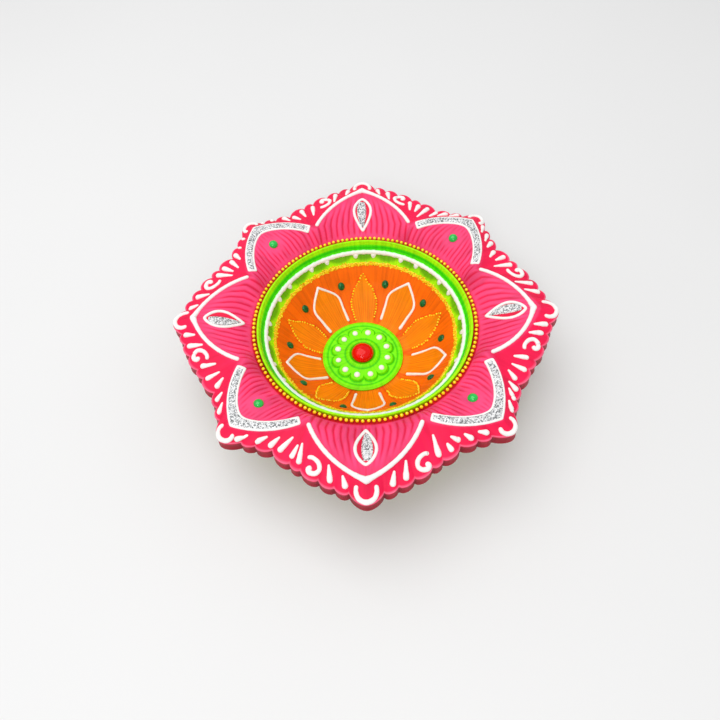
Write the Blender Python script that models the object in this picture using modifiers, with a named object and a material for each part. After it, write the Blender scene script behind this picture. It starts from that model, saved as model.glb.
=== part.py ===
"""Star-shaped clay oil lamp: a moulded rim, an oil bowl and applied decoration.

Metres, +Z up. The origin is the middle of the flat foot, +Y points away from the viewer.
"""
import math

import bmesh
import bpy
from mathutils import Matrix, Vector
from mathutils.bvhtree import BVHTree

# Spaces between pieces that touch
GAP = 0.0003

# Oil bowl
MOUTH_RADIUS = 0.0553
BOWL_DEPTH = 0.0345
FLOOR_THICKNESS = 0.0055
BOWL_WALL = 0.0060
LIP_WIDTH = 0.0011
SHOULDER_WIDTH = 0.0040
SHOULDER_HEIGHT = 0.0015
FOOT_RADIUS = 0.0290
FOOT_HEIGHT = 0.0030
BOWL_STEPS = 64
# Share of the depth and share of the run from floor to mouth, down the inside of the wall
WALL_SHAPE = (
    (0.00, 1.00), (0.07, 0.97), (0.17, 0.91), (0.25, 0.83), (0.34, 0.75), (0.45, 0.66),
    (0.58, 0.56), (0.71, 0.43), (0.83, 0.27), (0.93, 0.12), (1.00, 0.00),
)
OUTER_WALL_POINTS = (6, 7, 8)

# Star rim
TIP_RADIUS = 0.1000
DIAGONAL_TIP_RADIUS = 0.0965
HEM_WIDTH = 0.0105
DIAGONAL_HEM_WIDTH = 0.0083
NOTCH_HEM_WIDTH = 0.0180
NOTCH_ANGLE = 30.2
NOTCH_BEND = 1.30
FOOT_REACH = 0.0070
PETAL_FOOT_ANGLE = 23.7
PETAL_STRAIGHTNESS = 0.70
SEAT_WIDTH = 0.0026
SEAT_DROP = 0.0015
DISH_RISE = 0.0085
DISH_MID_REACH = 0.50
LONG_MID_RISE = 0.74
SHORT_MID_RISE = 0.98
HEM_DROP = 0.0040
EDGE_THICKNESS = 0.0066
EDGE_ROUND = 0.0010
EDGE_LEAN = 0.0010
PLATE_THICKNESS = 0.0065
SCALLOP_DEPTH = 0.0030
# Degrees from a long point to each dip of the scalloped edge, up to the next short point
SCALLOP_DIPS = (4.7, 8.8, 13.6, 19.5, 23.4, 30.2, 35.6, 39.8)
SCALLOP_STEPS = 4
EIGHTH_TURN = 45.0
QUARTER_TURN = 90.0

# Medallion and cabochon on the bowl's floor
MEDALLION_RADIUS = 0.0228
MEDALLION_EDGE = 0.0011
MEDALLION_CROWN = 0.0026
MEDALLION_OFFSET_X = -0.0020
MEDALLION_OFFSET_Y = -0.0004
MEDALLION_STEPS = 48
COLLAR_HEIGHT = 0.0011
# Shares of the disc's radius: the collar's crest and foot beyond the cabochon, then the steps to the edge
COLLAR_CREST = 0.06
COLLAR_FOOT = 0.14
CROWN_SHARE = 0.66
GROOVE_SHARE = 0.84
RIM_SHARE = 0.90
RIM_RISE = 0.0003
CABOCHON_RADIUS = 0.0063
CABOCHON_HEIGHT = 0.0044
CABOCHON_STEPS = 24

# Bead chain round the bowl's mouth
BEAD_RADIUS = 0.0012
BEAD_NECK = 0.62
BEAD_PITCH = 0.00265

# Rings on the bowl's wall, by their depth below the lip
WHITE_RING_DEPTH = 0.0058
WHITE_RING_RADIUS = 0.0008
WHITE_RING_REPEATS = 12
WHITE_RING_TOOTH = 0.0013
# Share of one repeat and share of the tooth's depth along the white ring
WHITE_RING_WAVE = ((0.00, 0.0), (0.20, 0.1), (0.28, 1.0), (0.38, 0.0), (0.62, 0.0), (0.72, 1.0), (0.80, 0.1))
GOLD_RING_DEPTH = 0.0110
GOLD_RING_WIDTH = 0.0024
GOLD_RING_HEIGHT = 0.0007
GOLD_RING_TOP = 0.60
GOLD_RING_GAP = 0.00045

# Petals and stones on the bowl's cone
BOWL_PETALS = 5
PETAL_FOOT_MARGIN = 0.0006
PETAL_TIP_MARGIN = 0.0040
NEAR_SIDE = 270.0
BOWL_PETALS_TURN = 1.2
PETAL_LINE_RADIUS = 0.0006
GOLD_LINE_RADIUS = 0.0005
WHITE_PETAL_WIDTH = 0.0172
GOLD_PETAL_WIDTH = 0.0150
# Share of the petal's length and share of its half width, from its foot to its point
PETAL_OUTLINE = ((0.00, 0.76), (0.35, 0.90), (0.65, 1.00), (0.83, 0.62), (1.00, 0.00))
BOWL_GEM_REACH = 0.85
BOWL_GEM_WIDTH = 0.0026
BOWL_GEM_LENGTH = 0.0035
BOWL_GEM_HEIGHT = 0.0011

# Trims on the star rim
ARCH_RADIUS = 0.0010
ARCH_END_MARGIN = 0.6
ARCH_POINTS = 17
CRESCENT_INSET = 0.0004
CRESCENT_WIDTH = 0.0066
CRESCENT_THICKNESS = 0.0009
CRESCENT_END_MARGIN = 2.6
CRESCENT_COLUMNS = 12
LEAF_START = 0.13
LEAF_END = 0.77
LEAF_WIDTH = 0.0100
LEAF_LINE_RADIUS = 0.0008
LEAF_SIDE_POINTS = 8
LEAF_STRIP_SHARE = 0.50
LEAF_STRIP_START = 0.20
LEAF_STRIP_END = 0.80
LEAF_STRIP_THICKNESS = 0.0007
LEAF_STRIP_CELLS = 5
RIM_GEM_REACH = 0.41
RIM_GEM_RADIUS = 0.0025
RIM_GEM_HEIGHT = 0.0019
LOOP_RADIUS = 0.0009
LOOP_HALF_WIDTH = 0.0044
LOOP_END_MARGIN = 0.0010
# Share of the loop's half width and share of its length, along one U-shaped loop
LOOP_PATH = ((-0.9, 0.0), (-1.0, 0.45), (-0.7, 0.82), (0.0, 1.0), (0.7, 0.82), (1.0, 0.45), (0.9, 0.0))

GEM_STEPS = 12
GEM_RINGS = 3
UP = Vector((0.0, 0.0, 1.0))
SETTLE_ROUNDS = 16
SHARP_ANGLE = 35.0
MERGE = 0.00001

# Heights worked out from the sizes above
FLOOR_Z = FLOOR_THICKNESS
LIP_Z = FLOOR_Z + BOWL_DEPTH
SEAT_Z = LIP_Z - SEAT_DROP
CREST_Z = SEAT_Z + DISH_RISE
EDGE_Z = CREST_Z - HEM_DROP
SHOULDER_Z = SEAT_Z - PLATE_THICKNESS - GAP

# Radii worked out from the sizes above
MEDALLION_OFFSET = math.hypot(MEDALLION_OFFSET_X, MEDALLION_OFFSET_Y)
FLOOR_RADIUS = MEDALLION_RADIUS + MEDALLION_OFFSET + GAP
LIP_RADIUS = MOUTH_RADIUS + LIP_WIDTH
SEAT_RADIUS = LIP_RADIUS + GAP
DISH_RADIUS = SEAT_RADIUS + SEAT_WIDTH
PETAL_FOOT_RADIUS = DISH_RADIUS + FOOT_REACH
NOTCH_RADIUS = PETAL_FOOT_RADIUS + NOTCH_HEM_WIDTH


def clear_scene():
    for item in list(bpy.data.objects):
        bpy.data.objects.remove(item, do_unlink=True)


def new_material(name, colour, roughness, metallic=0.0):
    material = bpy.data.materials.new(name)
    material.use_nodes = True
    shader = material.node_tree.nodes["Principled BSDF"]
    shader.inputs["Base Color"].default_value = (*colour, 1.0)
    shader.inputs["Roughness"].default_value = roughness
    shader.inputs["Metallic"].default_value = metallic
    return material


def add_part(name, data, material):
    """Link a mesh or a curve to the lamp under its part name"""
    part = bpy.data.objects.new(name, data)
    lamp_collection.objects.link(part)
    part.parent = lamp_axis
    data.materials.append(material)
    return part


def mesh_from(name, shape):
    """Turn a finished bmesh into smooth-shaded mesh data"""
    mesh = bpy.data.meshes.new(name)
    shape.to_mesh(mesh)
    shape.free()
    mesh.shade_smooth()
    mesh.set_sharp_from_angle(angle=math.radians(SHARP_ANGLE))
    return mesh


def profile_mesh(name, points):
    """An open line of edges in the XZ plane, ready to be turned"""
    mesh = bpy.data.meshes.new(name)
    edges = [(index, index + 1) for index in range(len(points) - 1)]
    mesh.from_pydata([(radius, 0.0, height) for radius, height in points], edges, [])
    return mesh


def turn(part, steps):
    """Turn the part's profile about its own Z axis"""
    screw = part.modifiers.new("turned", "SCREW")
    screw.axis = "Z"
    screw.steps = steps
    screw.render_steps = steps
    screw.use_merge_vertices = True
    screw.merge_threshold = MERGE
    screw.use_smooth_shade = True
    return part


def piped_line(name, points, radius, material, closed=False, radii=None):
    """A round bead of paste along a line of points"""
    curve = bpy.data.curves.new(name, "CURVE")
    curve.dimensions = "3D"
    curve.bevel_depth = radius
    curve.bevel_resolution = 1
    curve.use_fill_caps = not closed
    spline = curve.splines.new("POLY")
    spline.points.add(len(points) - 1)
    spline.use_cyclic_u = closed
    for index, point in enumerate(points):
        spline.points[index].co = (*point, 1.0)
        spline.points[index].radius = radii[index] if radii else 1.0
    return add_part(name, curve, material)


def sheet_pad(name, rows, thickness, material):
    """A pad of even thickness whose underside runs through rows of points"""
    shape = bmesh.new()
    corners = [[shape.verts.new(point) for point in row] for row in rows]
    for upper, lower in zip(corners, corners[1:]):
        for index in range(len(upper) - 1):
            shape.faces.new((upper[index], lower[index], lower[index + 1], upper[index + 1]))
    bmesh.ops.recalc_face_normals(shape, faces=shape.faces)
    if sum(face.normal.z for face in shape.faces) < 0.0:
        bmesh.ops.reverse_faces(shape, faces=shape.faces)
    pad = add_part(name, mesh_from(name, shape), material)
    solid = pad.modifiers.new("thickness", "SOLIDIFY")
    solid.thickness = thickness
    solid.offset = 1.0
    return pad


def stone(name, size, place, surface, material):
    """A flat-backed oval cabochon lying on a surface, its length pointing outwards"""
    width, length, height = size
    points = []
    for ring in range(GEM_RINGS):
        angle = math.radians(90.0) * (1.0 - ring / GEM_RINGS)
        points.append((0.5 * math.cos(angle), height * math.sin(angle)))
    points += [(0.5, 0.0), (0.0, 0.0)]
    gem = turn(add_part(name, profile_mesh(name, points), material), GEM_STEPS)
    spot, normal = surface.under(place)
    side = normal.cross(place).normalized()
    front = side.cross(normal)
    back = []
    for step in range(GEM_STEPS):
        edge = polar(0.5, 360.0 * step / GEM_STEPS)
        back.append(spot + front * (edge.x * length) + side * (edge.y * width))
    lift = max(surface.height_above(corner, normal) for corner in [spot, *back])
    axes = Matrix((front * length, side * width, normal)).transposed().to_4x4()
    gem.matrix_world = Matrix.Translation(spot + normal * (lift + GAP)) @ axes
    return gem


class Surface:
    """A finished piece that other pieces lie on"""

    def __init__(self, piece):
        self.tree = BVHTree.FromObject(piece, bpy.context.evaluated_depsgraph_get())

    def under(self, place):
        """The spot straight under a place, and the surface's direction there"""
        start = Vector((place.x, place.y, LIP_Z + TIP_RADIUS))
        spot, normal, _, _ = self.tree.ray_cast(start, -UP)
        return spot, normal

    def height_above(self, point, normal):
        """How far the surface stands above a point, along a direction"""
        start = point + normal * MOUTH_RADIUS
        distance = self.tree.ray_cast(start, -normal)[3]
        return MOUTH_RADIUS - distance

    def rest(self, place, clear, lift=None):
        """Centre of a ball of radius clear that lies on the surface at a place"""
        spot, normal = self.under(place)
        direction = lift or normal
        centre = spot + direction * clear
        for _ in range(SETTLE_ROUNDS):
            distance = self.tree.find_nearest(centre)[3]
            centre = centre + direction * (clear - distance)
        return centre


def polar(radius, degrees):
    angle = math.radians(degrees)
    return Vector((radius * math.cos(angle), radius * math.sin(angle), 0.0))


def from_long_point(degrees):
    """Angle from the nearest long point of the star, from 0 to 45 degrees"""
    return abs((degrees + EIGHTH_TURN) % QUARTER_TURN - EIGHTH_TURN)


def star_line(degrees, line):
    """Radius on a line that falls from a star point towards the dip beside it"""
    long_tip, long_reach, short_tip, low, bend = line
    angle = from_long_point(degrees)
    tip = long_tip
    share = angle / long_reach
    if angle > long_reach:
        tip = short_tip
        share = (EIGHTH_TURN - angle) / (EIGHTH_TURN - long_reach)
    return tip - (tip - low) * (bend * share + (1.0 - bend) * share * share)


def crest_radius(degrees):
    """The raised border of the petals"""
    long_tip = TIP_RADIUS - HEM_WIDTH
    short_tip = DIAGONAL_TIP_RADIUS - DIAGONAL_HEM_WIDTH
    line = (long_tip, PETAL_FOOT_ANGLE, short_tip, PETAL_FOOT_RADIUS, PETAL_STRAIGHTNESS)
    return star_line(degrees, line)


def scallop_bulge(degrees):
    """How far a scallop stands out from the line through the dips"""
    angle = from_long_point(degrees)
    widest = 2.0 * SCALLOP_DIPS[0]
    starts = (-SCALLOP_DIPS[0], *SCALLOP_DIPS)
    ends = (*SCALLOP_DIPS, QUARTER_TURN - SCALLOP_DIPS[-1])
    for start, end in zip(starts, ends):
        if start <= angle <= end:
            across = 2.0 * (angle - start) / (end - start) - 1.0
            return SCALLOP_DEPTH * math.sqrt((end - start) / widest) * (1.0 - across * across)
    return 0.0


def edge_radius(degrees):
    """The scalloped outline of the star"""
    long_tip = TIP_RADIUS - SCALLOP_DEPTH
    short_tip = DIAGONAL_TIP_RADIUS - SCALLOP_DEPTH
    line = (long_tip, NOTCH_ANGLE, short_tip, NOTCH_RADIUS, NOTCH_BEND)
    return star_line(degrees, line) + scallop_bulge(degrees)


def star_angles():
    """Angles round the star: each dip, and even steps across each scallop"""
    half = []
    bounds = (0.0, *SCALLOP_DIPS, EIGHTH_TURN)
    for number, (start, end) in enumerate(zip(bounds, bounds[1:])):
        is_half = number in (0, len(bounds) - 2)
        steps = SCALLOP_STEPS // 2 if is_half else SCALLOP_STEPS
        half += [start + (end - start) * step / steps for step in range(steps)]
    mirrored = [QUARTER_TURN - angle for angle in [EIGHTH_TURN, *reversed(half[1:])]]
    quarter = half + mirrored
    return [angle + QUARTER_TURN * turn_number for turn_number in range(4) for angle in quarter]


def middle_radius(degrees):
    """Where the dish bends, between the bead seat and the crest"""
    return DISH_RADIUS + (crest_radius(degrees) - DISH_RADIUS) * DISH_MID_REACH


def middle_rise(degrees):
    """Share of the dish's rise at its middle: short petals are fuller than long ones"""
    short_share = 0.5 - 0.5 * math.cos(math.pi * from_long_point(degrees) / EIGHTH_TURN)
    return LONG_MID_RISE + (SHORT_MID_RISE - LONG_MID_RISE) * short_share


def star_section(degrees):
    """The rim cut through its middle at one angle, clockwise from the bead seat"""
    crest = crest_radius(degrees)
    edge = edge_radius(degrees)
    return (
        (SEAT_RADIUS, SEAT_Z),
        (DISH_RADIUS, SEAT_Z),
        (middle_radius(degrees), SEAT_Z + DISH_RISE * middle_rise(degrees)),
        (crest, CREST_Z),
        (edge - EDGE_ROUND, EDGE_Z),
        (edge, EDGE_Z - EDGE_ROUND),
        (edge - EDGE_LEAN, EDGE_Z - EDGE_THICKNESS),
        (SEAT_RADIUS, SEAT_Z - PLATE_THICKNESS),
    )


def make_star_rim():
    """Loft the rim's changing section round the star"""
    shape = bmesh.new()
    loops = []
    for degrees in star_angles():
        loop = []
        for radius, height in star_section(degrees):
            loop.append(shape.verts.new(polar(radius, degrees) + UP * height))
        loops.append(loop)
    for this, following in zip(loops, loops[1:] + loops[:1]):
        for index in range(len(this)):
            after = (index + 1) % len(this)
            shape.faces.new((this[index], this[after], following[after], following[index]))
    bmesh.ops.recalc_face_normals(shape, faces=shape.faces)
    return add_part("star_rim", mesh_from("star_rim", shape), pink_clay)


def wall_line():
    """The bowl's inner wall as radius and height, from the lip down to the floor"""
    run = MOUTH_RADIUS - FLOOR_RADIUS
    return [(FLOOR_RADIUS + run * reach, LIP_Z - BOWL_DEPTH * depth) for depth, reach in WALL_SHAPE]


def wall_at(height):
    """Radius of the inner wall at a height, and the wall's direction there, pointing down"""
    line = wall_line()
    for (radius, top), (next_radius, bottom) in zip(line, line[1:]):
        if bottom <= height <= top:
            share = (top - height) / (top - bottom)
            direction = Vector((next_radius - radius, 0.0, bottom - top)).normalized()
            return radius + (next_radius - radius) * share, direction
    return FLOOR_RADIUS, Vector((0.0, 0.0, -1.0))


def make_oil_bowl():
    """Turn the bowl: up its inside, over the lip and down its outside to the foot"""
    inside = wall_line()
    points = [(0.0, FLOOR_Z), *reversed(inside)]
    points += [(LIP_RADIUS, LIP_Z), (LIP_RADIUS, SHOULDER_Z)]
    shoulder = LIP_RADIUS + SHOULDER_WIDTH
    points += [(shoulder, SHOULDER_Z), (shoulder, SHOULDER_Z - SHOULDER_HEIGHT)]
    for index in OUTER_WALL_POINTS:
        radius, height = inside[index]
        before = inside[index - 1]
        after = inside[index + 1]
        direction = Vector((after[0] - before[0], after[1] - before[1])).normalized()
        points.append((radius - direction.y * BOWL_WALL, height + direction.x * BOWL_WALL))
    points += [(FOOT_RADIUS, FOOT_HEIGHT), (FOOT_RADIUS, 0.0), (0.0, 0.0)]
    return turn(add_part("oil_bowl", profile_mesh("oil_bowl", points), lime_clay), BOWL_STEPS)


def make_medallion():
    """Turn the domed disc with its raised rim, groove and collar, and the cabochon on it"""
    bottom = FLOOR_Z + GAP
    rim = bottom + MEDALLION_EDGE
    crown = bottom + MEDALLION_CROWN
    seat = CABOCHON_RADIUS + GAP
    points = [
        (0.0, crown),
        (seat, crown),
        (seat + COLLAR_CREST * MEDALLION_RADIUS, crown + COLLAR_HEIGHT),
        (seat + COLLAR_FOOT * MEDALLION_RADIUS, crown),
        (CROWN_SHARE * MEDALLION_RADIUS, crown),
        (GROOVE_SHARE * MEDALLION_RADIUS, rim),
        (RIM_SHARE * MEDALLION_RADIUS, rim + RIM_RISE),
        (MEDALLION_RADIUS, rim - RIM_RISE),
        (MEDALLION_RADIUS, bottom),
        (0.0, bottom),
    ]
    place = Vector((MEDALLION_OFFSET_X, MEDALLION_OFFSET_Y, 0.0))
    disc = add_part("centre_medallion", profile_mesh("centre_medallion", points), lime_disc)
    turn(disc, MEDALLION_STEPS).location = place
    base = crown + GAP
    dome = []
    for ring in range(2 * GEM_RINGS):
        angle = math.radians(90.0) * (1.0 - ring / (2 * GEM_RINGS))
        dome.append((CABOCHON_RADIUS * math.cos(angle), base + CABOCHON_HEIGHT * math.sin(angle)))
    dome += [(CABOCHON_RADIUS, base), (0.0, base)]
    bead = add_part("centre_cabochon", profile_mesh("centre_cabochon", dome), red_resin)
    turn(bead, CABOCHON_STEPS).location = place


def make_bead_chain():
    """A string of small beads in the seat between rim and bowl, thick at each bead"""
    radius = SEAT_RADIUS + 0.5 * SEAT_WIDTH
    count = round(2.0 * math.pi * radius / BEAD_PITCH)
    height = SEAT_Z + GAP + BEAD_RADIUS
    points = []
    radii = []
    for number in range(2 * count):
        points.append(polar(radius, 180.0 * number / count) + UP * height)
        radii.append(BEAD_NECK if number % 2 else 1.0)
    piped_line("bead_chain", points, BEAD_RADIUS, gold_beads, closed=True, radii=radii)


def make_gold_ring():
    """A flat glitter band turned on the bowl's wall"""
    radius, down = wall_at(LIP_Z - GOLD_RING_DEPTH)
    out = Vector((down.z, 0.0, -down.x))
    middle = Vector((radius, 0.0, LIP_Z - GOLD_RING_DEPTH))
    low = middle + out * GOLD_RING_GAP
    high = low + out * GOLD_RING_HEIGHT
    half = down * (0.5 * GOLD_RING_WIDTH)
    corners = [low - half, high - GOLD_RING_TOP * half, high + GOLD_RING_TOP * half, low + half, low - half]
    points = [(corner.x, corner.z) for corner in reversed(corners)]
    turn(add_part("gold_glitter_ring", profile_mesh("gold_glitter_ring", points), gold_glitter), BOWL_STEPS)


def make_white_ring(bowl_surface):
    """A piped ring with pairs of small teeth pointing down the wall"""
    points = []
    for number in range(WHITE_RING_REPEATS):
        for along, tooth in WHITE_RING_WAVE:
            radius = wall_at(LIP_Z - WHITE_RING_DEPTH - tooth * WHITE_RING_TOOTH)[0]
            degrees = 360.0 * (number + along - 0.5) / WHITE_RING_REPEATS + QUARTER_TURN
            points.append(bowl_surface.rest(polar(radius, degrees), WHITE_RING_RADIUS + GAP))
    piped_line("white_scallop_ring", points, WHITE_RING_RADIUS, white_paste, closed=True)


def petal_reach():
    """Radii where the bowl's painted petals start and end"""
    start = FLOOR_RADIUS + PETAL_FOOT_MARGIN
    ring_edge = LIP_Z - GOLD_RING_DEPTH - 0.5 * GOLD_RING_WIDTH
    return start, wall_at(ring_edge - PETAL_TIP_MARGIN)[0]


def make_bowl_petals(bowl_surface):
    """Outlined petals round the medallion, white and gold in turn, with a stone beside each"""
    start, end = petal_reach()
    spacing = 360.0 / (2 * BOWL_PETALS)
    path = [*PETAL_OUTLINE, *[(share, -half) for share, half in reversed(PETAL_OUTLINE[:-1])]]
    for number in range(2 * BOWL_PETALS):
        is_white = number % 2 == 0
        middle = NEAR_SIDE + BOWL_PETALS_TURN + spacing * number
        radius = PETAL_LINE_RADIUS if is_white else GOLD_LINE_RADIUS
        width = WHITE_PETAL_WIDTH if is_white else GOLD_PETAL_WIDTH
        points = []
        for share, half in path:
            reach = start + (end - start) * share
            swing = math.degrees(half * 0.5 * width / reach)
            points.append(bowl_surface.rest(polar(reach, middle + swing), radius + GAP))
        kind = "white" if is_white else "gold"
        material = white_paste if is_white else gold_glitter
        piped_line(f"{kind}_petal_outline_{number // 2 + 1}", points, radius, material)
        place = polar(start + (end - start) * BOWL_GEM_REACH, middle + 0.5 * spacing)
        gem_size = (BOWL_GEM_WIDTH, BOWL_GEM_LENGTH, BOWL_GEM_HEIGHT)
        stone(f"bowl_gem_{number + 1}", gem_size, place, bowl_surface, dark_green_stone)


def make_leaf(number, axis, rim_surface):
    """An almond outline in a long petal, with a glitter strip inside it"""
    petal = crest_radius(axis) - DISH_RADIUS
    start = DISH_RADIUS + LEAF_START * petal
    end = DISH_RADIUS + LEAF_END * petal

    def place(share, offset):
        reach = start + (end - start) * share
        return polar(reach, axis + math.degrees(offset / reach))

    def half_width(share):
        return 0.5 * LEAF_WIDTH * math.sin(math.pi * share)

    shares = [step / (LEAF_SIDE_POINTS - 1) for step in range(LEAF_SIDE_POINTS)]
    loop = [(share, half_width(share)) for share in shares]
    loop += [(share, -half_width(share)) for share in reversed(shares[1:-1])]
    clear = LEAF_LINE_RADIUS + GAP
    points = [rim_surface.rest(place(share, offset), clear, UP) for share, offset in loop]
    piped_line(f"leaf_outline_{number}", points, LEAF_LINE_RADIUS, white_paste, closed=True)
    rows = []
    for step in range(LEAF_STRIP_CELLS + 1):
        share = LEAF_STRIP_START + (LEAF_STRIP_END - LEAF_STRIP_START) * step / LEAF_STRIP_CELLS
        half = LEAF_STRIP_SHARE * half_width(share)
        rows.append([rim_surface.rest(place(share, offset), GAP, UP) for offset in (-half, half)])
    sheet_pad(f"leaf_glitter_{number}", rows, LEAF_STRIP_THICKNESS, silver_glitter)


def make_arch(number, axis, rim_surface):
    """The piped line along the crest of a long petal"""
    half = PETAL_FOOT_ANGLE - ARCH_END_MARGIN
    points = []
    for step in range(ARCH_POINTS):
        degrees = axis - half + 2.0 * half * step / (ARCH_POINTS - 1)
        points.append(rim_surface.rest(polar(crest_radius(degrees), degrees), ARCH_RADIUS + GAP, UP))
    piped_line(f"petal_arch_{number}", points, ARCH_RADIUS, white_paste)


def make_crescent(number, axis, rim_surface):
    """A bent glitter band inside the crest of a short petal"""
    half = EIGHTH_TURN - PETAL_FOOT_ANGLE - CRESCENT_END_MARGIN
    rows = []
    for column in range(CRESCENT_COLUMNS + 1):
        degrees = axis - half + 2.0 * half * column / CRESCENT_COLUMNS
        outer = crest_radius(degrees) - CRESCENT_INSET
        radii = (outer, max(outer - CRESCENT_WIDTH, middle_radius(degrees)))
        rows.append([rim_surface.rest(polar(radius, degrees), GAP, UP) for radius in radii])
    sheet_pad(f"silver_crescent_{number}", rows, CRESCENT_THICKNESS, silver_glitter)


def make_rim_gem(number, axis, rim_surface):
    """A half-round stone in the middle of a short petal"""
    place = polar(DISH_RADIUS + RIM_GEM_REACH * (crest_radius(axis) - DISH_RADIUS), axis)
    gem_size = (2.0 * RIM_GEM_RADIUS, 2.0 * RIM_GEM_RADIUS, RIM_GEM_HEIGHT)
    stone(f"rim_gem_{number}", gem_size, place, rim_surface, green_stone)


def make_tip_loop(number, axis, beside, rim_surface):
    """A U-shaped piped loop on the hem at a star point, clear of the line beside it"""
    points = []
    for across, along in LOOP_PATH:
        swing = math.degrees(across * LOOP_HALF_WIDTH / edge_radius(axis))
        start = crest_radius(axis + swing) + beside + LOOP_RADIUS + 2.0 * GAP
        end = edge_radius(axis + swing) - LOOP_RADIUS - LOOP_END_MARGIN
        place = polar(start + (end - start) * along, axis + swing)
        points.append(rim_surface.rest(place, LOOP_RADIUS + GAP, UP))
    piped_line(f"tip_loop_{number}", points, LOOP_RADIUS, white_paste)


clear_scene()
lamp_collection = bpy.data.collections.new("star_oil_lamp")
bpy.context.scene.collection.children.link(lamp_collection)
lamp_axis = bpy.data.objects.new("lamp_axis", None)
lamp_collection.objects.link(lamp_axis)

pink_clay = new_material("pink_clay", (0.90, 0.03, 0.14), 0.45)
lime_clay = new_material("lime_clay", (0.25, 0.75, 0.01), 0.45)
lime_disc = new_material("lime_disc", (0.27, 0.80, 0.01), 0.42)
red_resin = new_material("red_resin", (0.75, 0.01, 0.01), 0.08)
gold_beads = new_material("gold_beads", (0.90, 0.65, 0.03), 0.30)
gold_glitter = new_material("gold_glitter", (0.75, 0.52, 0.03), 0.35, 0.6)
silver_glitter = new_material("silver_glitter", (0.70, 0.72, 0.72), 0.35, 0.6)
white_paste = new_material("white_paste", (0.90, 0.90, 0.87), 0.50)
green_stone = new_material("green_stone", (0.01, 0.45, 0.09), 0.08)
dark_green_stone = new_material("dark_green_stone", (0.01, 0.12, 0.05), 0.08)

bowl = make_oil_bowl()
rim = make_star_rim()
make_medallion()
make_bead_chain()
make_gold_ring()

on_bowl = Surface(bowl)
on_rim = Surface(rim)
make_white_ring(on_bowl)
make_bowl_petals(on_bowl)
for quarter_number in range(4):
    long_axis = QUARTER_TURN * quarter_number
    short_axis = long_axis + EIGHTH_TURN
    make_arch(quarter_number + 1, long_axis, on_rim)
    make_leaf(quarter_number + 1, long_axis, on_rim)
    make_crescent(quarter_number + 1, short_axis, on_rim)
    make_rim_gem(quarter_number + 1, short_axis, on_rim)
    make_tip_loop(2 * quarter_number + 1, long_axis, ARCH_RADIUS, on_rim)
    make_tip_loop(2 * quarter_number + 2, short_axis, 0.0, on_rim)
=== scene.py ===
import math

import bmesh
import bpy
import numpy as np
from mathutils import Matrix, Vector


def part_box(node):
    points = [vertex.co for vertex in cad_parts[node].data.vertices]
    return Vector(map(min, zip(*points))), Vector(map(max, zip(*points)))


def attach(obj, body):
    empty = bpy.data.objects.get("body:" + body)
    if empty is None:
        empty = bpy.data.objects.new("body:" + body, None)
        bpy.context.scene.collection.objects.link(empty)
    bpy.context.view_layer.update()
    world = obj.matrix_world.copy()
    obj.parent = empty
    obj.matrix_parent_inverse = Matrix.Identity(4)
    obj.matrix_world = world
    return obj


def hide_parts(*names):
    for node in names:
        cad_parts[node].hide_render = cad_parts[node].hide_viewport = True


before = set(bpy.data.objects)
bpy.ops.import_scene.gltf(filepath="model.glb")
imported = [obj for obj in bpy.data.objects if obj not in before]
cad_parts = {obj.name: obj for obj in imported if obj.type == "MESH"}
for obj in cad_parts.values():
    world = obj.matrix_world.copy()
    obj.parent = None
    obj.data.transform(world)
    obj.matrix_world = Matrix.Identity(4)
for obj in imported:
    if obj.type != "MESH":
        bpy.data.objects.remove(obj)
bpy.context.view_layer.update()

# Lengths are in metres and angles in degrees, with 0 along +X and 90 along +Y
RIM_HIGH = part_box("star_rim")[1]
BOWL_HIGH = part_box("oil_bowl")[1]
BEADS_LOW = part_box("bead_chain")[0]
DISC_LOW, DISC_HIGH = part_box("centre_medallion")
DOME_LOW, DOME_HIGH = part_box("centre_cabochon")
LEAF_LOW, LEAF_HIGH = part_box("leaf_outline_1")
GAP = 0.0003
EIGHTH_TURN = 45.0
QUARTER_TURN = 90.0
FULL_TURN = 360.0
LONG_AXES = (0.0, 90.0, 180.0, 270.0)
SHORT_AXES = (45.0, 135.0, 225.0, 315.0)
STAR_POINTS = 8
MILLIMETRE = 0.001
SEED = 7
# Sizes of hand-made dots and strokes differ by a factor in this range
HAND_SPREAD = (0.92, 1.08)

# The star rim, with the same lines as the solid
TIP_RADIUS = RIM_HIGH.x
DIAGONAL_TIP_RADIUS = 0.0965
HEM_WIDTH = 0.0105
DIAGONAL_HEM_WIDTH = 0.0083
NOTCH_HEM_WIDTH = 0.0180
NOTCH_ANGLE = 30.2
NOTCH_BEND = 1.30
FOOT_REACH = 0.0070
FOOT_ANGLE = 23.7
PETAL_STRAIGHTNESS = 0.70
MOUTH_RADIUS = 0.0553
LIP_WIDTH = 0.0011
LIP_RADIUS = MOUTH_RADIUS + LIP_WIDTH
SEAT_WIDTH = 0.0026
SEAT_RADIUS = LIP_RADIUS + GAP
DISH_RADIUS = SEAT_RADIUS + SEAT_WIDTH
FOOT_RADIUS = DISH_RADIUS + FOOT_REACH
NOTCH_RADIUS = FOOT_RADIUS + NOTCH_HEM_WIDTH
LONG_CREST = TIP_RADIUS - HEM_WIDTH
SHORT_CREST = DIAGONAL_TIP_RADIUS - DIAGONAL_HEM_WIDTH
CREST_Z = RIM_HIGH.z
LIP_Z = BOWL_HIGH.z
SEAT_DROP = 0.0015
SEAT_Z = LIP_Z - SEAT_DROP
DISH_RISE = CREST_Z - SEAT_Z
HEM_DROP = 0.0032
HEM_ROUND = -0.20
EDGE_DROP = 0.0040
EDGE_THICKNESS = 0.0066
EDGE_BOTTOM = CREST_Z - EDGE_DROP - EDGE_THICKNESS
EDGE_ROUND = 0.0007
EDGE_LEAN = -0.0003
PLATE_THICKNESS = 0.0065
SCALLOP_DEPTH = 0.0030
SCALLOP_FULLNESS = 0.62
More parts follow.
